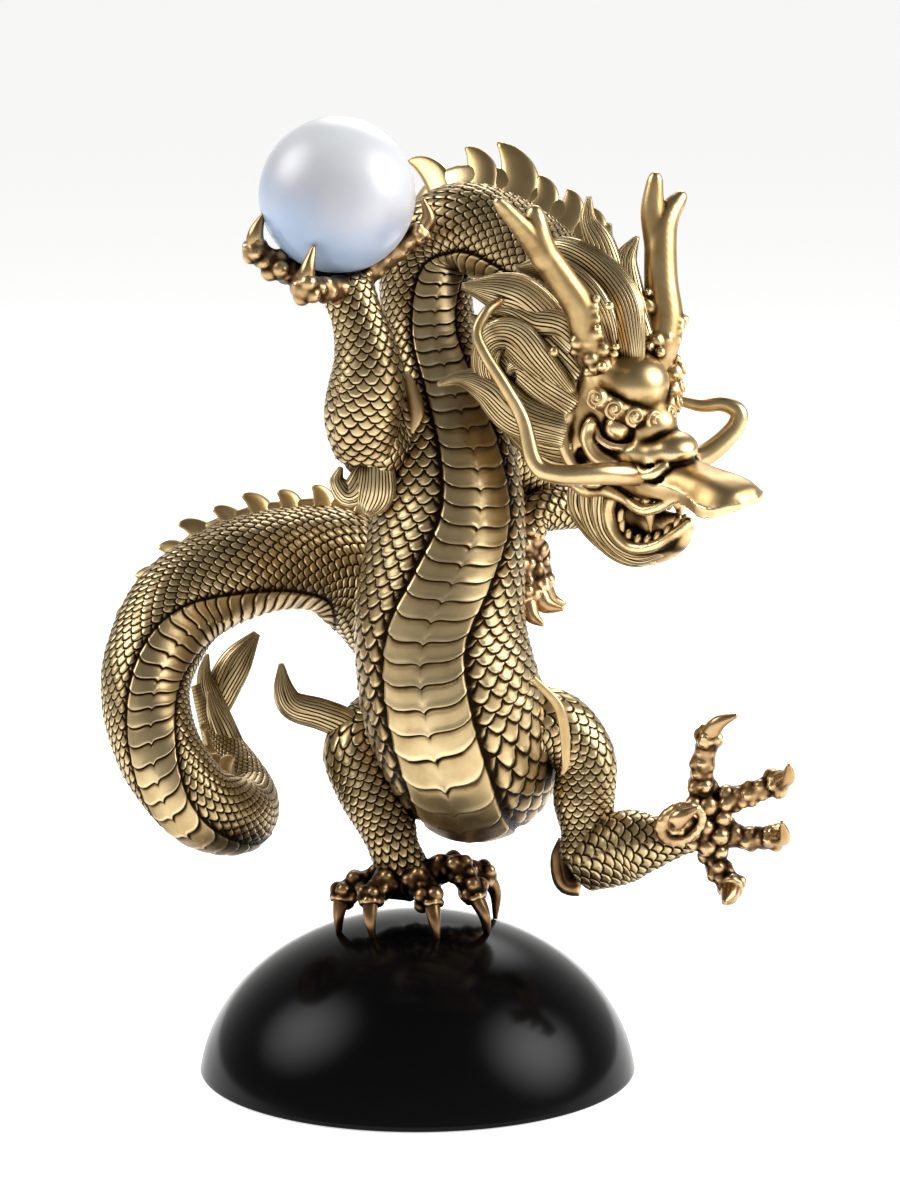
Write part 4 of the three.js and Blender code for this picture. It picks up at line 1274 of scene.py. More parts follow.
    def foot(self, name: str) -> Surface:
        """A whole hand or foot as one blended form."""
        joints, claws = self.toes[name], self.claws[name]
        every = np.array([row for toe in (*joints, *claws) for row in toe], float)
        clay = Clay(every[:, :3].min(0) - 9, every[:, :3].max(0) + 9, self.step)
        palm = np.array(self.palms[name])
        clay.ball(palm, soft=1.5)
        for k, (toe, claw) in enumerate(zip(joints, claws)):
            self.toe(clay, toe, claw, 0.7 * k)
        rng = np.random.default_rng(5)
        ways = unit_rows(rng.normal(size=(26, 3)))
        for way in ways:
            spot = palm[:3] + way * palm[3:] * 0.93
            size = 2.4 + 0.9 * rng.random()
            clay.ball((*spot, size), soft=0.45)
        if name == "left_foot":
            for pad in self.sole_pads:
                clay.ball(pad, soft=0.6)
            self.thumb_collar(clay)
        return clay.surface()

    def claw(self, path: Points) -> Surface:
        """One claw: round at its root, with a low keel along its outer side, to a blunt point."""
        rows = np.array(path, float)
        root = rows[0].copy()
        root[:3] -= (rows[1] - rows[0])[:3] * 0.5

        def section(run: Array, radius: Array, angle: Array) -> Array:
            """The keel: a narrow bell curve of the angle."""
            return 1 + 0.10 * np.exp(-((np.angle(np.exp(1j * (angle - math.pi / 2))) / 0.3) ** 2)) + 0 * run
        return sweep(np.vstack([root, rows]), 22, 24, section=section)

    def build(self) -> Pieces:
        """Makes the four feet and, as one piece a foot, their claws."""
        pieces = []
        for name in self.toes:
            pieces.append(dressed(self.foot(name), name, Finish.FEET, relief_size=0.42, rounds=12))
            claws = join([self.claw(path) for path in self.claws[name]])
            pieces.append(dressed(claws, name + "_claws", Finish.CLAWS, relief_size=0.8, rounds=4))
        return pieces


# ------------------------ hair

@dataclass
class Hair:
    """Combed locks: the mane, the cheeks' sweeps, the tufts of elbow and hock, and the tail's plume."""

    # By piece: crown, upper cheek, cheek curl, lower cheek and jaw; tall, short and back uprights; and so on.
    locks: dict[str, tuple[Points, ...]] = field(default_factory=lambda: {
        "mane_near": (
            ((71, -36, 249, 4), (70, -37, 258, 5.5), (67, -34, 270, 8), (59, -28, 279, 8), (48, -22, 285, 6),
             (39, -18, 285, 1)),
            ((52, -36, 256, 6), (37, -36, 270, 8), (28, -36, 274, 7), (15, -34, 276, 1)),
            ((50, -36, 240, 4), (39, -38, 252, 7), (31, -38, 260, 7), (24, -36, 257, 5), (24, -32, 246, 4.5),
             (36, -28, 238, 4)),
            ((50, -34, 228, 6), (34, -32, 233, 7.5), (24, -32, 242, 6), (15, -31, 245, 3), (7, -31, 243, 0.8)),
            ((52, -32, 221, 5), (40, -28, 224, 6), (29, -28, 234, 4.5), (22, -28, 238, 1)),
        ),
        "mane_upright": (
            ((66, -27, 272, 5), (61, -24, 288, 5), (57, -22, 296, 3), (57, -20, 304, 0.8)),
            ((74, -29, 258, 5), (70, -26, 274, 5), (69, -24, 283, 4), (73, -22, 291, 0.8)),
            ((60, -18, 276, 5), (62, -18, 288, 3.2), (64, -18, 295, 0.8)),
        ),
        "mane_far": (
            ((70, -8, 246, 6), (62, 0, 254, 8), (54, 6, 256, 6), (44, 12, 252, 1)),
            ((70, -8, 232, 6), (62, 2, 234, 7.5), (54, 8, 230, 5), (45, 12, 222, 1)),
        ),
        "elbow_tuft": (
            ((-14, -18, 220, 5), (-13.5, -18.5, 212, 6.5), (-14, -18.5, 205, 7.2), (-16, -18.5, 200, 5),
             (-17, -18.5, 197.5, 1.5)),
            ((-16, -18, 214, 4), (-20, -18, 206, 4.5), (-23.5, -18, 204.5, 4), (-26.6, -18, 209, 2.6),
             (-25.2, -18, 213.4, 0.8)),
        ),
        "hock_tuft": (
            ((-23.7, 14, 112, 4.5), (-24.5, 14, 118, 5.5), (-33, 14, 122, 5.5), (-42.7, 14, 125, 5),
             (-46.1, 14, 130.7, 3.6), (-47, 14, 140, 0.9)),
        ),
        "heel_spur": (((56, -10, 68, 4.5), (51, -10, 69, 4.2), (49, -10, 77, 3.4), (49, -10, 84, 0.8)),),
        "tail_plume": (
            ((-62, 34, 99, 5), (-68, 38, 109, 6), (-73, 40, 122, 5), (-75, 41, 130, 3), (-74, 41, 138, 0.8)),
            ((-64, 34, 100, 4), (-68, 34, 112, 4), (-71, 34, 119, 3), (-73, 34, 126, 0.8)),
            ((-68, 38, 104, 4), (-72, 41, 115, 5), (-69, 42, 124.8, 6), (-63.5, 43, 135, 5.6),
             (-56.6, 44, 144.8, 1.4)),
        ),
        "mane_under": (
            ((64, -34, 254, 4), (60, -36, 266, 6), (53, -33, 275, 6.5), (43, -29, 281, 5), (33, -27, 281, 0.8)),
            ((58, -34, 250, 5), (48, -37, 262, 6), (38, -37, 264, 6), (30, -37, 268, 4), (22, -36, 268, 0.8)),
            ((54, -34, 246, 5), (44, -35, 257, 6), (34, -34, 264, 6), (25, -33, 262, 4), (17, -32, 266, 0.8)),
            ((52, -35, 236, 5), (42, -36, 243, 6), (34, -35, 249, 5), (30, -34, 247, 0.8)),
            ((52, -29, 238, 5), (41, -28, 243, 6.5), (32, -27, 249, 7), (25, -27, 257, 5), (20, -27, 263, 0.8)),
            ((54, -30, 214, 4), (44, -26, 216, 5), (35, -25, 224, 4), (28, -25, 229, 0.8)),
            ((68, -14, 262, 6), (60, -8, 272, 7), (50, -2, 274, 6), (38, 4, 270, 1)),
            ((74, -16, 252, 5), (72, -6, 262, 6), (64, 2, 268, 6), (54, 10, 266, 1)),
            ((76, -14, 240, 5), (72, -2, 246, 7), (66, 6, 246, 6), (58, 12, 240, 1)),
            ((72, -12, 224, 5), (64, -4, 222, 6), (56, 4, 218, 5), (50, 8, 211, 0.8)),
        ),
    })
    # Smooth, uncombed: one at the hip, and the leaf behind the raised arm.
    tendrils: tuple[Points, ...] = (
        ((38.5, -36, 145.5, 1.2), (47.9, -34, 133.9, 1.8), (50, -34, 116.8, 1.4), (48.7, -34, 111.6, 0.6)),
        ((-3.8, -14, 244.9, 1.6), (0.2, -16, 231.7, 2.8), (-3.2, -18, 221.9, 0.7)),
    )
    strand: float = 1.05                # width of one combed strand

    def balls(self) -> Array:
        """Balls that stand for the locks."""
        return np.vstack([
            even_curve(path, 14)[0] * (1, 1, 1, 0.7) for group in self.locks.values() for path in group
        ])

    def lock(self, path: Path, flat: float = 0.55, facing: Triple | None = None, around: int = 56) -> Surface:
        """One lock as a closed strap in broad waves, numbered for the fine strands across it.

        The half-width grows and shrinks by the sine of five half turns of the angle, drifting along the
        lock. The strand number rises evenly from one edge over both faces to the other, so that strands
        run the lock's whole length and meet at the tip.

        Args:
            path: rows of a place and a half-width.
            flat: thickness over width.
            facing: way that the flat side looks, where not the usual one.
            around: points round the girth.

        Returns:
            The lock, with its strand numbers.
        """
        length = even_curve(path, 2)[1][-1]
        widest = max(row[3] for row in path)
        strands = max(4, round(2.6 * widest / self.strand))

        def waves(run: Array, radius: Array, angle: Array) -> Array:
            """Broad waves of the half-width."""
            drift = 0.5 * np.sin(run * 0.10 + 2 * angle) + 0.3 * np.sin(run * 0.21)
            broad = np.abs(np.sin(0.5 * (5 * angle + drift))) ** 0.7
            return 1 + (broad - 0.6) * 0.55 * np.clip(radius / 4, 0.15, 1) / np.maximum(radius, 0.6)

        rows = max(24, int(length / 1.1))
        surface = sweep(path, rows, around, flat=flat, facing=facing, section=waves)
        share = 1 - np.abs(np.mod(turn_of(around) + math.pi, 2 * math.pi) - math.pi) / math.pi
        along = np.linspace(0, length, rows)[:, None]
        comb = strands * share[None, :] + 0.45 * np.sin(along * 0.12 + 3 * share[None, :])
        surface.marks[COMB] = np.append(comb.ravel(), [0.5 * strands, 0.5 * strands])
        return surface

    def build(self) -> Pieces:
        """Makes every lock, with those of one place as one piece."""
        pieces = []
        for name, paths in self.locks.items():
            flat = 0.8 if name == "elbow_tuft" else 0.55
            finish = Finish.FEET if name == "heel_spur" else Finish.HAIR
            surface = join([self.lock(path, flat) for path in paths])
            pieces.append(dressed(surface, name, finish, relief_size=0.5, rounds=8))
        surface = join([sweep(path, 40, 20, flat=0.6) for path in self.tendrils])
        pieces.append(dressed(surface, "tendrils", Finish.FACE, relief_size=0.5, rounds=6))
        return pieces


# ------------------------ horns and whiskers

@dataclass
class Horns:
    """Two forked horns, smooth above and knobbed at their roots."""

    shafts: dict[str, Points] = field(default_factory=lambda: {
        "right": (
            (61, -38, 249, 6), (57, -43, 257, 5.6), (54, -45, 269, 5), (47, -46, 280, 4.5),
            (40, -47, 290, 4.2), (35, -49, 296, 3.2), (27, -52, 305, 1.9),
        ),
        "right_branch": ((42, -47, 286, 3.8), (40, -47, 293, 3.4), (39, -47, 299, 2.6), (38.6, -47, 301.5, 2)),
        "left": (
            (73, -27, 244, 6.5), (79, -25, 253, 6.6), (82, -23, 263, 6), (81, -21, 276, 5.2),
            (81, -18, 290, 4.8), (83, -16, 297, 3.8), (87.5, -13, 303, 2.4),
        ),
        "left_branch": ((80, -18, 288, 3.8), (78.2, -17, 299, 3.3), (79, -17, 310, 1.9)),
    })
    knobs: Points = (
        (57.5, -47, 270), (52.5, -47, 259), (58.5, -48, 262),
        (61, -46.5, 256.5), (57, -47.5, 253.5), (61.5, -45, 251),
        (77, -26, 268), (86.5, -24, 262.5), (84.5, -26, 257.5),
        (75, -29, 257), (79, -30, 257.5), (77, -30, 253.5),
    )

    def balls(self) -> Array:
        """Balls that stand for the horns."""
        return np.vstack([even_curve(path, 20)[0] for path in self.shafts.values()])

    def build(self) -> Pieces:
        """Makes both horns with their knobs as one blended form."""
        clay = Clay((18, -60, 238), (96, -6, 318), 0.66)
        for path in self.shafts.values():
            clay.rod(even_curve(path, 26)[0], soft=1.4)
        rng = np.random.default_rng(3)
        for x, y, z in self.knobs:
            clay.ball((x, y, z, 2.5), soft=0.7)
            for _ in range(5):
                spot = np.array([x, y, z]) + rng.normal(size=3) * (2.6, 1.6, 3.4)
                size = 1.2 + 0.7 * rng.random()
                clay.ball((*spot, size), soft=0.5)
        return [dressed(clay.surface(), "horns", Finish.FACE, relief_size=0.6, rounds=10)]


@dataclass
class Whiskers:
    """Two long smooth whiskers that swing out from the snout."""

    paths: dict[str, Points] = field(default_factory=lambda: {
        "right_whisker": (
            (74, -44, 215, 4), (60, -52, 216.5, 3.6), (47, -54, 216.5, 3.2), (39, -53, 220, 2.8),
            (35, -51, 234, 2.4), (29, -50, 245, 2.2), (23, -48, 254.5, 2), (20, -46, 262, 1.8),
            (23, -44, 268.5, 1.7), (28, -40, 272, 1.4),
        ),
        "left_whisker": (
            (84, -34, 217, 4), (95, -30, 219, 3.8), (104.5, -27, 226.4, 3.3),
            (107, -26, 232.5, 3), (102, -25, 235.6, 2.6), (94.5, -24, 235, 2.2), (86, -24, 237, 1.6),
        ),
    })

    def balls(self) -> Array:
        """Balls that stand for the whiskers."""
        return np.vstack([even_curve(path, 30)[0] for path in self.paths.values()])

    def build(self) -> Pieces:
        """Makes both whiskers as plain tapered rods."""
        return [
            dressed(sweep(path, 90, 22), name, Finish.FACE, relief_size=0.6, rounds=6)
            for name, path in self.paths.items()
        ]


# ------------------------ head

@dataclass
class Head:
    """The head on axes of its own: forward along the snout, to its left, and up through the crown."""

    origin: Triple = (73.5, -38, 245.5)
    axes: tuple[Triple, ...] = ((0.698, -0.698, -0.156), (0.715, 0.683, 0.146), (0.004, -0.214, 0.977))
    step: float = 0.62
    # Forms as forward, left, up and three half-sizes, each laid with its mirror image.
    masses: Points = (
        (-13, 0, -11, 17, 15, 16),        # skull
        (-14, 9.5, -20, 13, 7.5, 13),     # cheeks
        (-9, 9.5, 2, 7, 6, 7),            # seats of the horns
        (-11, 0, -40, 11, 10, 13),        # back of the mouth
        (4, 6.5, -22, 9, 6.5, 6.5),       # muzzle beside the bridge
        (5, 0, -14, 8, 8, 7),             # bridge of the nose
    )
    snout: Points = (
        (-8, -30, 11.5, 8.5), (4, -30.5, 11, 8.5), (12, -31, 10.6, 8), (19, -30.4, 10, 7), (25, -29.2, 9, 5.8),
        (31, -28.6, 7.6, 4.2), (35, -28.6, 5, 2.6),
    )
    bill: Points = (
        (10, -25.4, 10, 8, 2.2), (20, -24.8, 10.2, 9.2, 2), (26, -24.6, 10, 9, 1.8), (32, -24.2, 11, 9.6, 1.7),
        (38, -24.2, 12.8, 10.6, 1.6), (43, -24.8, 12.6, 9.6, 1.5), (47, -26, 9.6, 6, 1.4), (50, -28, 4, 2, 1),
    )
    palate: Points = (
        (2, -40, 6.8, 5), (12, -38.8, 6.8, 5), (18, -36.5, 6.4, 4.4), (24, -35, 6, 4), (30, -34.6, 6, 3.6),
        (36, -34.6, 6, 3),
    )
    lip_edge: Points = (
        (3, 9.4, -38.4, 1.5), (11, 9.8, -40, 1.6), (17, 9.3, -38, 1.5), (23, 8.6, -34.2, 1.1),
        (28, 8.6, -31.2, 0.8),
    )
    jaw_line: Points = (
        (-14, 0, -44, 8.4), (-7, 0, -52, 8), (1, 0, -56.5, 6.6), (9, 0, -55.8, 5.4), (16, 0, -52, 4.4),
        (21.5, 0, -47, 3),
    )
    jaw_rim: Points = (
        (-2, 9.3, -38, 1.9), (-4.5, 8.8, -45, 1.9), (-2.5, 8.4, -51.5, 1.9), (3, 7.8, -55.4, 1.8),
        (9, 6.9, -55.2, 1.7), (15, 5.6, -52.4, 1.6), (20.5, 3.6, -47.5, 1.5), (23.3, 0, -43.5, 1.4),
    )
    mouth_floor: Points = (
        (-3, 0, -43, 6), (3, 0, -49, 6), (9, 0, -50, 5.2), (15, 0, -47.5, 4.2), (20, 0, -43.5, 2.8),
    )
    tongue: Points = (
        (-6, 0, -43, 6.4), (1, 0, -46.5, 6), (8, 0, -47.5, 5), (13.5, 0, -46.5, 3.6), (18, 0, -44, 2.2),
    )
    # Forms laid or cut singly or in pairs, after the masses.
    throat: Row = (4, 0, -45, 8.5, 6.9, 7)
    cheek_hollow: Row = (-9.5, 15.5, -25.5, 3.6, 2.2, 3.2)
    eye_socket: Row = (3, 13, -14.6, 6.6, 4.8, 5.4)
    eye: Row = (0.2, 10.2, -13.8, 4.7)
    forehead: Row = (-2, 0, -1.5, 11, 11.5, 9.6)
    nose_tip: Row = (15.5, 0, -19.5, 8, 8.6, 5.2)
    nose_side: Row = (11.5, 6.6, -21.4, 6, 4.2, 4.6)
    nostril: Row = (15, 8.6, -24.6, 2.2, 2, 1.7)
    nose_crease: Points = ((22, 2, -24.6, 0.8), (18.4, 9, -27.8, 0.9), (10.6, 12, -29.2, 0.7))
    folds: tuple[Points, ...] = (
        ((-5.5, 17, -12, 1.8), (-7, 16.8, -18, 2.2), (-4, 15.6, -23.5, 2.4), (2, 13.5, -26, 2)),
        ((-16, 16, -12, 2), (-18, 16.6, -20, 2.6), (-15, 15.8, -28, 2.6), (-9, 14, -33, 2)),
        ((-20, 14, -34, 2), (-12, 13.6, -38, 2.3), (-4, 11.6, -36.5, 2.1), (3, 10, -38, 1.5)),
        ((-11, 14.4, -30.5, 1.5), (-8.4, 15.2, -34, 1.5), (-4.4, 14.2, -33, 1.4), (-5.4, 14, -29.8, 1.2)),
    )
    nostril_wing: Points = (
        (18.5, 7, -23.2, 1.6), (16.4, 9.8, -25.4, 1.8), (12.6, 10.6, -26.8, 1.9), (9.2, 9.4, -24.6, 1.8),
        (10, 7.6, -21.5, 1.5),
    )
    lower_lid: Points = (
        (-5.6, 15.4, -12.4, 1), (-3.2, 15.5, -17.2, 1.15), (1.6, 13.8, -19.4, 1.2), (5.6, 9.6, -19.2, 1.1),
        (7.4, 5.6, -16.4, 1),
    )
    brow_half: Points = ((-2, 17.5, -3), (0.8, 13.5, -6), (4.8, 8.5, -8.8), (7.3, 3, -10.6))
    brow_radius: float = 2.8
    curl_radius: float = 3.5
    beard: Points = ((12, -58, 2.8), (3, -60, 3.6), (-7, -59, 4.2), (-16, -54.5, 4), (-26, -49.5, 2))
    beard_offsets: Row = (-4, 0, 4)
    beard_strands: tuple[Points, ...] = (
        ((-8, 10.4, -37, 2.2), (-8, 10.6, -45, 2.8), (-6, 9.8, -52.5, 3), (0, 8.4, -58, 2.8),
         (8, 6.6, -59.5, 2.2), (16, 4.2, -56, 0.8)),
        ((-14, 10.6, -38, 2.4), (-13.5, 10.4, -46, 3), (-10.5, 9.4, -53.5, 3.2), (-4, 7.6, -59.5, 3),
         (4, 5.4, -61.5, 2.4), (12, 3.6, -59.5, 0.8)),
        ((-20, 9.6, -40, 2.4), (-20, 9.4, -47, 2.8), (-17, 8, -53, 3), (-11, 6.6, -58, 3),
         (-4, 4.6, -61.6, 2.6), (4, 3, -62.5, 0.8)),
    )
    ear: Points = ((-17, 13, -4, 4), (-20, 15, 4, 4.5), (-23, 16.5, 11, 3.2), (-25, 17, 19, 0.6))
    fang: Points = ((11.6, 7, -36.5, 2.2), (12.4, 7, -42, 1.8), (13, 7, -48, 0.4))
    lower_teeth: Points = (
        (-1.2, 6.3, -46.5), (-0.6, 6.3, -50), (2.4, 6.2, -53), (6.4, 5.8, -53.8), (10.2, 5.2, -53),
        (13.8, 4.4, -51), (17.2, 3.3, -48), (19.8, 1.6, -45),
    )
    upper_teeth: Points = (
        (4, 7.6, -38), (7.6, 7.6, -38.6), (16.6, 6.9, -37), (20, 6.3, -35.6), (23.2, 5.9, -34.6),
    )

    def placed(self, points: Array) -> Array:
        """Points on the head's axes, brought to the figure's."""
        return np.array(self.origin) + np.asarray(points, float) @ np.array(self.axes)

    def path(self, points: Points, sign: float = 1) -> Array:
        """Head-axis rows with a radius as figure rows, mirrored for sign -1."""
        rows = np.array(points, float) * (1, sign, 1, 1)
        return np.column_stack([self.placed(rows[:, :3]), rows[:, 3]])

    def direction(self, way: Triple | Array) -> Array:
        """A direction on the head's axes, brought to the figure's."""
        return unit_rows(np.array(way, float) @ np.array(self.axes))

    def balls(self) -> Array:
        """Balls that stand for the head."""
        rows = [(f, l * s, u, min(a, b, c)) for f, l, u, a, b, c in self.masses for s in (1, -1)]
        rows += [(-1, 0, -1, 9.5), (16.5, 0, -19.5, 6)]     # forehead and tip of the nose
        rows += [(f, w * s, u, min(w, h)) for f, u, w, h in even_curve(self.snout, 16)[0] for s in (0.5, -0.5)]
        rows = np.vstack([rows, even_curve(self.jaw_line, 12)[0] * (1, 1, 1, 0.6)])
        return np.column_stack([self.placed(rows[:, :3]), rows[:, 3]])

    def mirrored_rod(self, clay: Clay, points: Points, soft: float = 0.9, carve: bool = False) -> None:
        """A rod and its mirror image, through many rows of the smooth curve."""
        rows = even_curve(points, 3 * len(points) + 4)[0]
        for sign in (1, -1):
            clay.rod(rows * (1, sign, 1, 1), soft, carve)

    def mirrored_ball(self, clay: Clay, row: Row, soft: float = 1.2, carve: bool = False) -> None:
        """An egg and its mirror image."""
        for sign in (1, -1):
            clay.ball((row[0], row[1] * sign, *row[2:]), soft, carve)

    def form(self) -> Surface:
        """Skull, brow, snout and jaw flowing into each other, with eyes, nostrils and mouth cut in."""
        clay = Clay((-36, -27, -72), (57, 27, 16), self.step)
        for mass in self.masses:
            self.mirrored_ball(clay, mass, soft=4.0)
        clay.loft(self.snout, soft=3.0)
        clay.sheet(self.bill, soft=1.6)
        clay.rod(even_curve(self.jaw_line, 18)[0], soft=2.4)
        clay.rod(self.mouth_floor, 1.0, True)
        clay.loft(self.palate, soft=0.9, carve=True)
        clay.ball(self.throat, soft=1.0, carve=True)
        self.mirrored_rod(clay, self.lip_edge, soft=1.1)
        self.mirrored_rod(clay, self.jaw_rim, soft=1.0)
        clay.rod(self.tongue, 0.8)
        for fold in self.folds:
            self.mirrored_rod(clay, fold, soft=1.3)
        self.mirrored_ball(clay, self.cheek_hollow, soft=1.2, carve=True)

        self.mirrored_ball(clay, self.eye_socket, soft=1.3, carve=True)
        self.mirrored_ball(clay, self.eye, soft=0.35)
        self.mirrored_rod(clay, self.lower_lid, soft=0.6)
        clay.ball(self.forehead, soft=4.0)
        self.mirrored_rod(clay, tuple((*row, self.brow_radius) for row in self.brow_half), soft=1.2)
        for row in self.curl_rows():
            clay.ball((*row[:3], self.curl_radius), soft=0.4)

        clay.ball(self.nose_tip, soft=1.6)
        self.mirrored_ball(clay, self.nose_side, soft=1.4)
        self.mirrored_rod(clay, self.nostril_wing, soft=0.8)
        self.mirrored_ball(clay, self.nostril, soft=0.5, carve=True)
        self.mirrored_rod(clay, self.nose_crease, 0.6, True)
        surface = clay.surface()
        f, l, u = surface.vertices.T
        # Painted shade inside the mouth: the closed-in mark is raised there.
        inside = (smoothstep((7.4 - np.abs(l)) / 1.5) * smoothstep((f + 8) / 3) * smoothstep((24 - f) / 4)
                  * smoothstep((-36.5 - u) / 2) * smoothstep((u + 56) / 3))
        placed = Surface(self.placed(surface.vertices), surface.faces).facing_out()
        placed.marks[PATINA_AND_SHADE] = PATINA_AND_SHADE_GRID.at(placed) + 0.9 * inside
        return placed

    def curl_rows(self) -> Array:
        """Centres of the brow's curls and the ways they face: four a side and one in the middle."""
        side = [
            (8.0, 3.4, -10.6, 1, 0.12, 0.25), (5.6, 8.9, -8.9, 0.85, 0.5, 0.3),
            (1.9, 13.9, -6, 0.7, 0.7, 0.3), (-1.6, 18, -2.4, 0.45, 0.85, 0.35),
        ]
        return np.array(side + [(f, -l, u, a, -b, c) for f, l, u, a, b, c in side])

    def curls(self) -> Surface:
        """Spiral ridges on the brow's balls: the radius shrinks evenly over one and three quarter turns."""
        turns = np.linspace(0, 1, 34)
        surfaces = []
        for f, l, u, *way in self.curl_rows():
            out = unit_rows(np.array(way))
            first = square_to(np.array([0.0, 0.0, -1.0]), out)
            second = np.cross(out, first) * np.sign(l)
            reach = 2.75 * (1 - turns) + 0.35
            angle = turns * 3.5 * math.pi
            rise = np.sqrt(np.maximum((self.curl_radius + 0.15) ** 2 - reach**2, 0.1))
            local = np.array([f, l, u]) + reach[:, None] * (
                np.cos(angle)[:, None] * first + np.sin(angle)[:, None] * second) + rise[:, None] * out
            points = np.column_stack([self.placed(local), 0.82 - 0.25 * turns])
            surfaces.append(sweep(points, 60, 8, facing=self.direction(out)))
        beads = even_curve(tuple((f - 1.2, l, u + 3.2, 1.0) for f, l, u in self.brow_half), 10)[0]
        for sign in (1, -1):
            for row in beads * (1, sign, 1, 1):
                surfaces.append(ball(self.placed(row[:3]), 0.75, 10, 6))
        return join(surfaces)

    def teeth(self) -> Surface:
        """Blunt teeth leaning a little forward along both jaws, and the two long upper fangs."""
        surfaces = []
        for sign in (1, -1):
            surfaces.append(sweep(self.path(self.fang, sign), 24, 14))
            for f, l, u in self.lower_teeth:
                tooth = (
                    (f, l, u - 2, 1.5), (f, l, u + 0.6, 1.45), (f + 0.4, l, u + 2.2, 1.0),
                    (f + 0.6, l, u + 2.9, 0.35),
                )
                surfaces.append(sweep(self.path(tooth, sign), 14, 12))
            for f, l, u in self.upper_teeth:
                tooth = ((f, l, u + 1.6, 1.6), (f, l, u - 0.8, 1.5), (f, l, u - 2.2, 1.0), (f, l, u - 2.9, 0.35))
                surfaces.append(sweep(self.path(tooth, sign), 14, 12))
        return join(surfaces)

    def beard_locks(self) -> Surface:
        """Combed locks under the chin, and strands that run beside the jaw's rim down to it."""
        hair = Hair()
        surfaces = []
        for offset in self.beard_offsets:
            path = self.path(tuple((f, offset, u, r) for f, u, r in self.beard))
            surfaces.append(hair.lock(path, flat=0.8, around=45))
        for sign in (1, -1):
            facing = self.direction((0.1, sign, -0.1))
            for strand in self.beard_strands:
                surfaces.append(hair.lock(self.path(strand, sign), flat=0.6, facing=facing, around=45))
        return join(surfaces)

    def ears(self) -> Surface:
        """Leaf-shaped ears, hollowed along the middle of the outer side."""
        def hollow(run: Array, radius: Array, angle: Array) -> Array:
            """A dent along the middle, deeper away from the root."""
            middle = np.angle(np.exp(1j * angle))
            return 1 - 0.55 * np.exp(-((middle / 0.55) ** 2)) * np.clip(run / 6, 0, 1)
        surfaces = []
        for sign in (1, -1):
            facing = self.direction((0.75, sign * 0.65, 0.1))
            surfaces.append(sweep(self.path(self.ear, sign), 44, 36, flat=0.55, facing=facing, section=hollow))
        return join(surfaces)

    def build(self) -> Pieces:
        """Makes the head and its trim."""
        return [
            dressed(self.form(), "head", Finish.FACE, relief_size=0.42, rounds=18),
            dressed(self.curls(), "brow_curls", Finish.FACE, relief_size=0.4, rounds=3),
            dressed(self.teeth(), "teeth", Finish.FACE, relief_size=0.6, rounds=4),
            dressed(self.beard_locks(), "beard", Finish.HAIR, relief_size=0.24, rounds=8),
            dressed(self.ears(), "ears", Finish.FACE, relief_size=0.5, rounds=8),
        ]


# ------------------------ pearl and plinth

@dataclass
class Pearl:
    """The pearl in the raised hand."""

    around: int = 96
    down: int = 48
    painted_light_way: Triple = (0.45, 0.0, 0.89)      # painted light: from the painted shaded side to the painted lit one

    def size(self) -> tuple[Array, float]:
        """Centre and radius, in model millimetres, from the solid's box."""
        low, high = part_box("pearl")
        centre = (np.array(low + high) / 2 - ORIGIN) / UNIT
        return centre, (high.z - low.z) / 2 / UNIT

    def balls(self) -> Array:
        """The ball that stands for the pearl."""
        centre, radius = self.size()
        return np.array([[*centre, radius]])

    def build(self) -> Pieces:
        """Makes the pearl: a ball of the solid's own size."""
        centre, radius = self.size()
        surface = ball(centre, radius, self.around, self.down)
        # Painted light and shade: the mark rises toward the painted light's way.
        surface.marks[WEAR_AND_PAINTED_SHADING] = 0.5 + 0.5 * ((surface.vertices - centre) / radius) @ np.array(self.painted_light_way)
        piece = dressed(surface, "great_pearl", Finish.PEARL)
        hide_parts("pearl")
        return [piece]


@dataclass
class Plinth:
    """The half-dome that the figure stands on."""

    radius: float = 75.4                # at the underside
    height: float = 54.0
    sink: float = 6.0                   # the ellipse's centre lies this far below the underside
    edge: float = 0.8                   # eased foot
    around: int = 160
    rows: int = 48

    def balls(self) -> Array:
        """Balls that stand for the dome, laid along its crown."""
        turn = turn_of(24)
        rings = [(r, self.height * math.sqrt(1 - (r / 90) ** 2) - 10, 9) for r in (0, 12, 26, 40, 52)]
        return np.array([(r * math.cos(a), r * math.sin(a), z, size) for r, z, size in rings for a in turn])

    def form(self) -> Surface:
        """Half an ellipse turned about the upright axis, over a small eased foot and a flat underside."""
        high = self.height + self.sink
        wide = self.radius / math.sqrt(1 - (self.sink / high) ** 2)
        start = math.asin(self.sink / high)
        ease = np.linspace(0, math.pi / 2, 7)[:-1]
        foot = np.column_stack([self.radius - self.edge * (1 - np.sin(ease)), self.edge * (1 - np.cos(ease))])
        tilt = np.linspace(start, math.pi / 2, self.rows)[:-1]
        dome = np.column_stack([wide * np.cos(tilt), high * np.sin(tilt) - self.sink])
        dome = dome[dome[:, 1] > self.edge * 1.05]
        profile = np.vstack([foot, dome])
        turn = turn_of(self.around)[None, :]
        rings = np.stack([
            profile[:, :1] * np.cos(turn), profile[:, :1] * np.sin(turn), profile[:, 1:] + 0 * turn,
        ], axis=-1)
        surface = tube(rings)
        surface.vertices[-1, 2] = self.height
        return surface

    def build(self) -> Pieces:
        """Makes the dome."""
        piece = dressed(self.form(), "dome_plinth", Finish.LACQUER)
        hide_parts("plinth")
        return [piece]


# ------------------------ stage

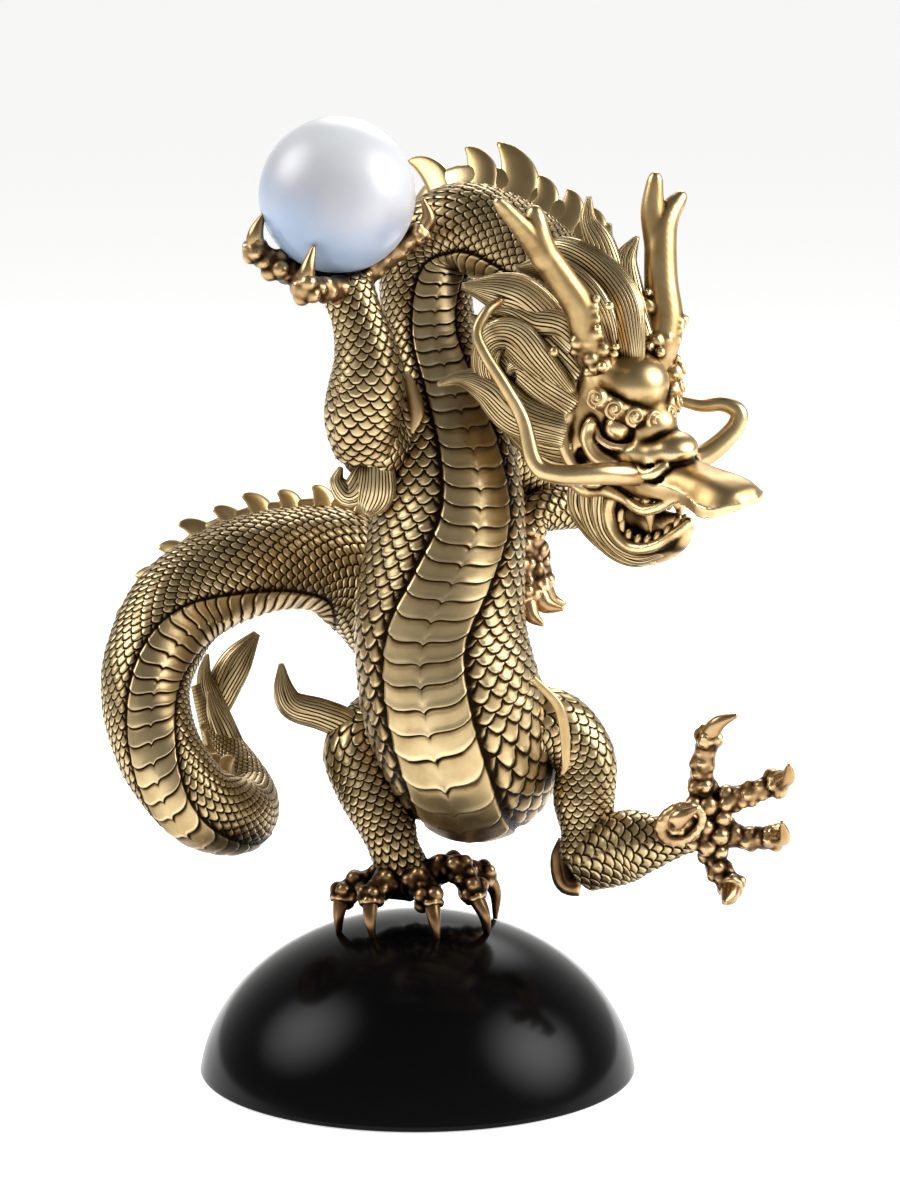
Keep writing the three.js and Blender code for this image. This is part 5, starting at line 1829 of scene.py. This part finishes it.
@dataclass
class Stage:
    """Pale floor, soft lights and the camera."""

    floor_size: float = 44.0
    floor_glow: float = 0.72
    side_level: float = 0.24            # of the surroundings, level with the figure
    front_share: float = 0.16           # added in front and taken away behind
    back_level: float = 0.97            # added straight behind
    # Softboxes: degrees round from the front and up, metres away, metres across, and watts.
    softboxes: dict[str, Row] = field(default_factory=lambda: {
        "key_right": (80, 30, 1.3, 1.7, 47), "fill_left": (-88, 40, 1.35, 1.6, 30),
        "rim_back": (170, 40, 1.6, 1.4, 18),
    })
    lamp_middle: Triple = (0.0, 0.0, 0.15)                  # what the softboxes face
    camera_place: Triple = (0.0112, -1.436, 0.4336)
    camera_tilt: float = 79.4
    lens: float = 128.8

    def floor(self) -> None:
        """A wide, nearly white floor that fills the view, clear of the underside by a hair."""
        half = self.floor_size / 2
        low = CAD_LOW.z - 0.0004
        mesh = bpy.data.meshes.new("floor")
        corners = [(-half, -half, low), (half, -half, low), (half, half, low), (-half, half, low)]
        mesh.from_pydata(corners, [], [(0, 1, 2, 3)])
        piece = bpy.data.objects.new("floor", mesh)
        bpy.context.scene.collection.objects.link(piece)
        material, _, shader = new_material("floor_paper")
        set_sockets(shader, {
            "Base Color": (0.90, 0.90, 0.90, 1), "Roughness": 0.9, "Specular IOR Level": 0.1,
            "Emission Color": (1, 1, 1, 1), "Emission Strength": self.floor_glow,
        })
        mesh.materials.append(material)

    def world(self) -> None:
        """Dim surroundings for the metal to mirror: palest in front, darker beside, behind and overhead."""
        world = bpy.data.worlds.new("studio")
        bpy.context.scene.world = world
        world.use_nodes = True
        wiring = Wiring(world.node_tree)
        parts = wiring.node("SeparateXYZ")
        wiring.link(wiring.node("TexCoord").outputs["Generated"], parts.inputs["Vector"])
        front = wiring.calc("MULTIPLY_ADD", parts.outputs["Y"], -self.front_share, self.side_level)
        behind = wiring.calc("POWER", wiring.calc("MAXIMUM", parts.outputs["Y"], 0.0), 3.0)
        front = wiring.plus(front, behind, self.back_level)
        shade = wiring.calc("MULTIPLY_ADD", parts.outputs["Z"], -0.55, 1.0)
        level = wiring.calc("MAXIMUM", wiring.calc("MULTIPLY", front, shade), 0.04)
        background = world.node_tree.nodes["Background"].inputs
        wiring.link(level, background["Strength"])
        background["Color"].default_value = (1, 0.99, 0.97, 1)

    def softbox(self, name: str, turn: float, rise: float, away: float, size: float, power: float) -> None:
        """A softbox, bright in its middle and falling off to its edge.

        Its place is middle + away * (cos(rise) * sin(turn), -cos(rise) * cos(turn), sin(rise)), and its
        strength at u, v across it is 1 - smooth(distance from the middle).

        Args:
            name: the lamp's name.
            turn: degrees round the figure from the front, positive to the right.
            rise: degrees over the level of the figure's middle.
            away: distance in metres.
            size: side in metres.
            power: watts.
        """
        data = bpy.data.lights.new(name, "AREA")
        data.shape = "SQUARE"
        data.size = size
        data.energy = power
        data.use_nodes = True
        wiring = Wiring(data.node_tree)
        parts = wiring.node("SeparateXYZ")
        wiring.link(wiring.node("NewGeometry").outputs["Parametric"], parts.inputs["Vector"])
        square = [
            wiring.calc("POWER", wiring.calc("SUBTRACT", parts.outputs[axis], 0.5), 2.0) for axis in ("X", "Y")
        ]
        distance = wiring.calc("SQRT", wiring.calc("ADD", *square))
        strength = wiring.ranged(distance, (0.0, 0.5), (1.9, 0.0))
        wiring.link(strength, data.node_tree.nodes["Emission"].inputs["Strength"])
        lamp = bpy.data.objects.new(name, data)
        turn, rise = math.radians(turn), math.radians(rise)
        way = Vector((math.cos(rise) * math.sin(turn), -math.cos(rise) * math.cos(turn), math.sin(rise)))
        lamp.location = Vector(self.lamp_middle) + away * way
        lamp.rotation_euler = way.to_track_quat("Z", "Y").to_euler()
        bpy.context.scene.collection.objects.link(lamp)

    def build(self) -> None:
        """Sets the floor, the lights and the camera."""
        bpy.context.scene.view_settings.view_transform = "Standard"
        self.floor()
        self.world()
        for name, values in self.softboxes.items():
            self.softbox(name, *values)
        data = bpy.data.cameras.new("camera")
        data.lens = self.lens
        data.sensor_width = 36
        data.sensor_fit = "AUTO"
        camera = bpy.data.objects.new("camera", data)
        camera.location = self.camera_place
        camera.rotation_euler = (math.radians(self.camera_tilt), 0, 0)
        bpy.context.scene.collection.objects.link(camera)
        bpy.context.scene.camera = camera


# ------------------------ assembly

def main() -> None:
    """Builds every piece and the stage, in order."""
    logging.basicConfig(level=logging.INFO, format="%(name)s: %(message)s")
    assemblies = [Body(), Limbs(), Feet(), Hair(), Horns(), Whiskers(), Head(), Pearl(), Plinth()]
    for assembly in assemblies:
        PATINA_AND_SHADE_GRID.add(assembly.balls())
    PATINA_AND_SHADE_GRID.soften()
    pieces = []
    for assembly in assemblies:
        started = time.time()
        pieces += assembly.build()
        log.info("%s took %.1f s", type(assembly).__name__, time.time() - started)
    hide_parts("dragon")
    total = sum(len(piece.data.polygons) for piece in pieces)
    log.info("%d pieces, %d triangles", len(pieces), total)
    Stage().build()


if __name__ == "__main__":
    main()
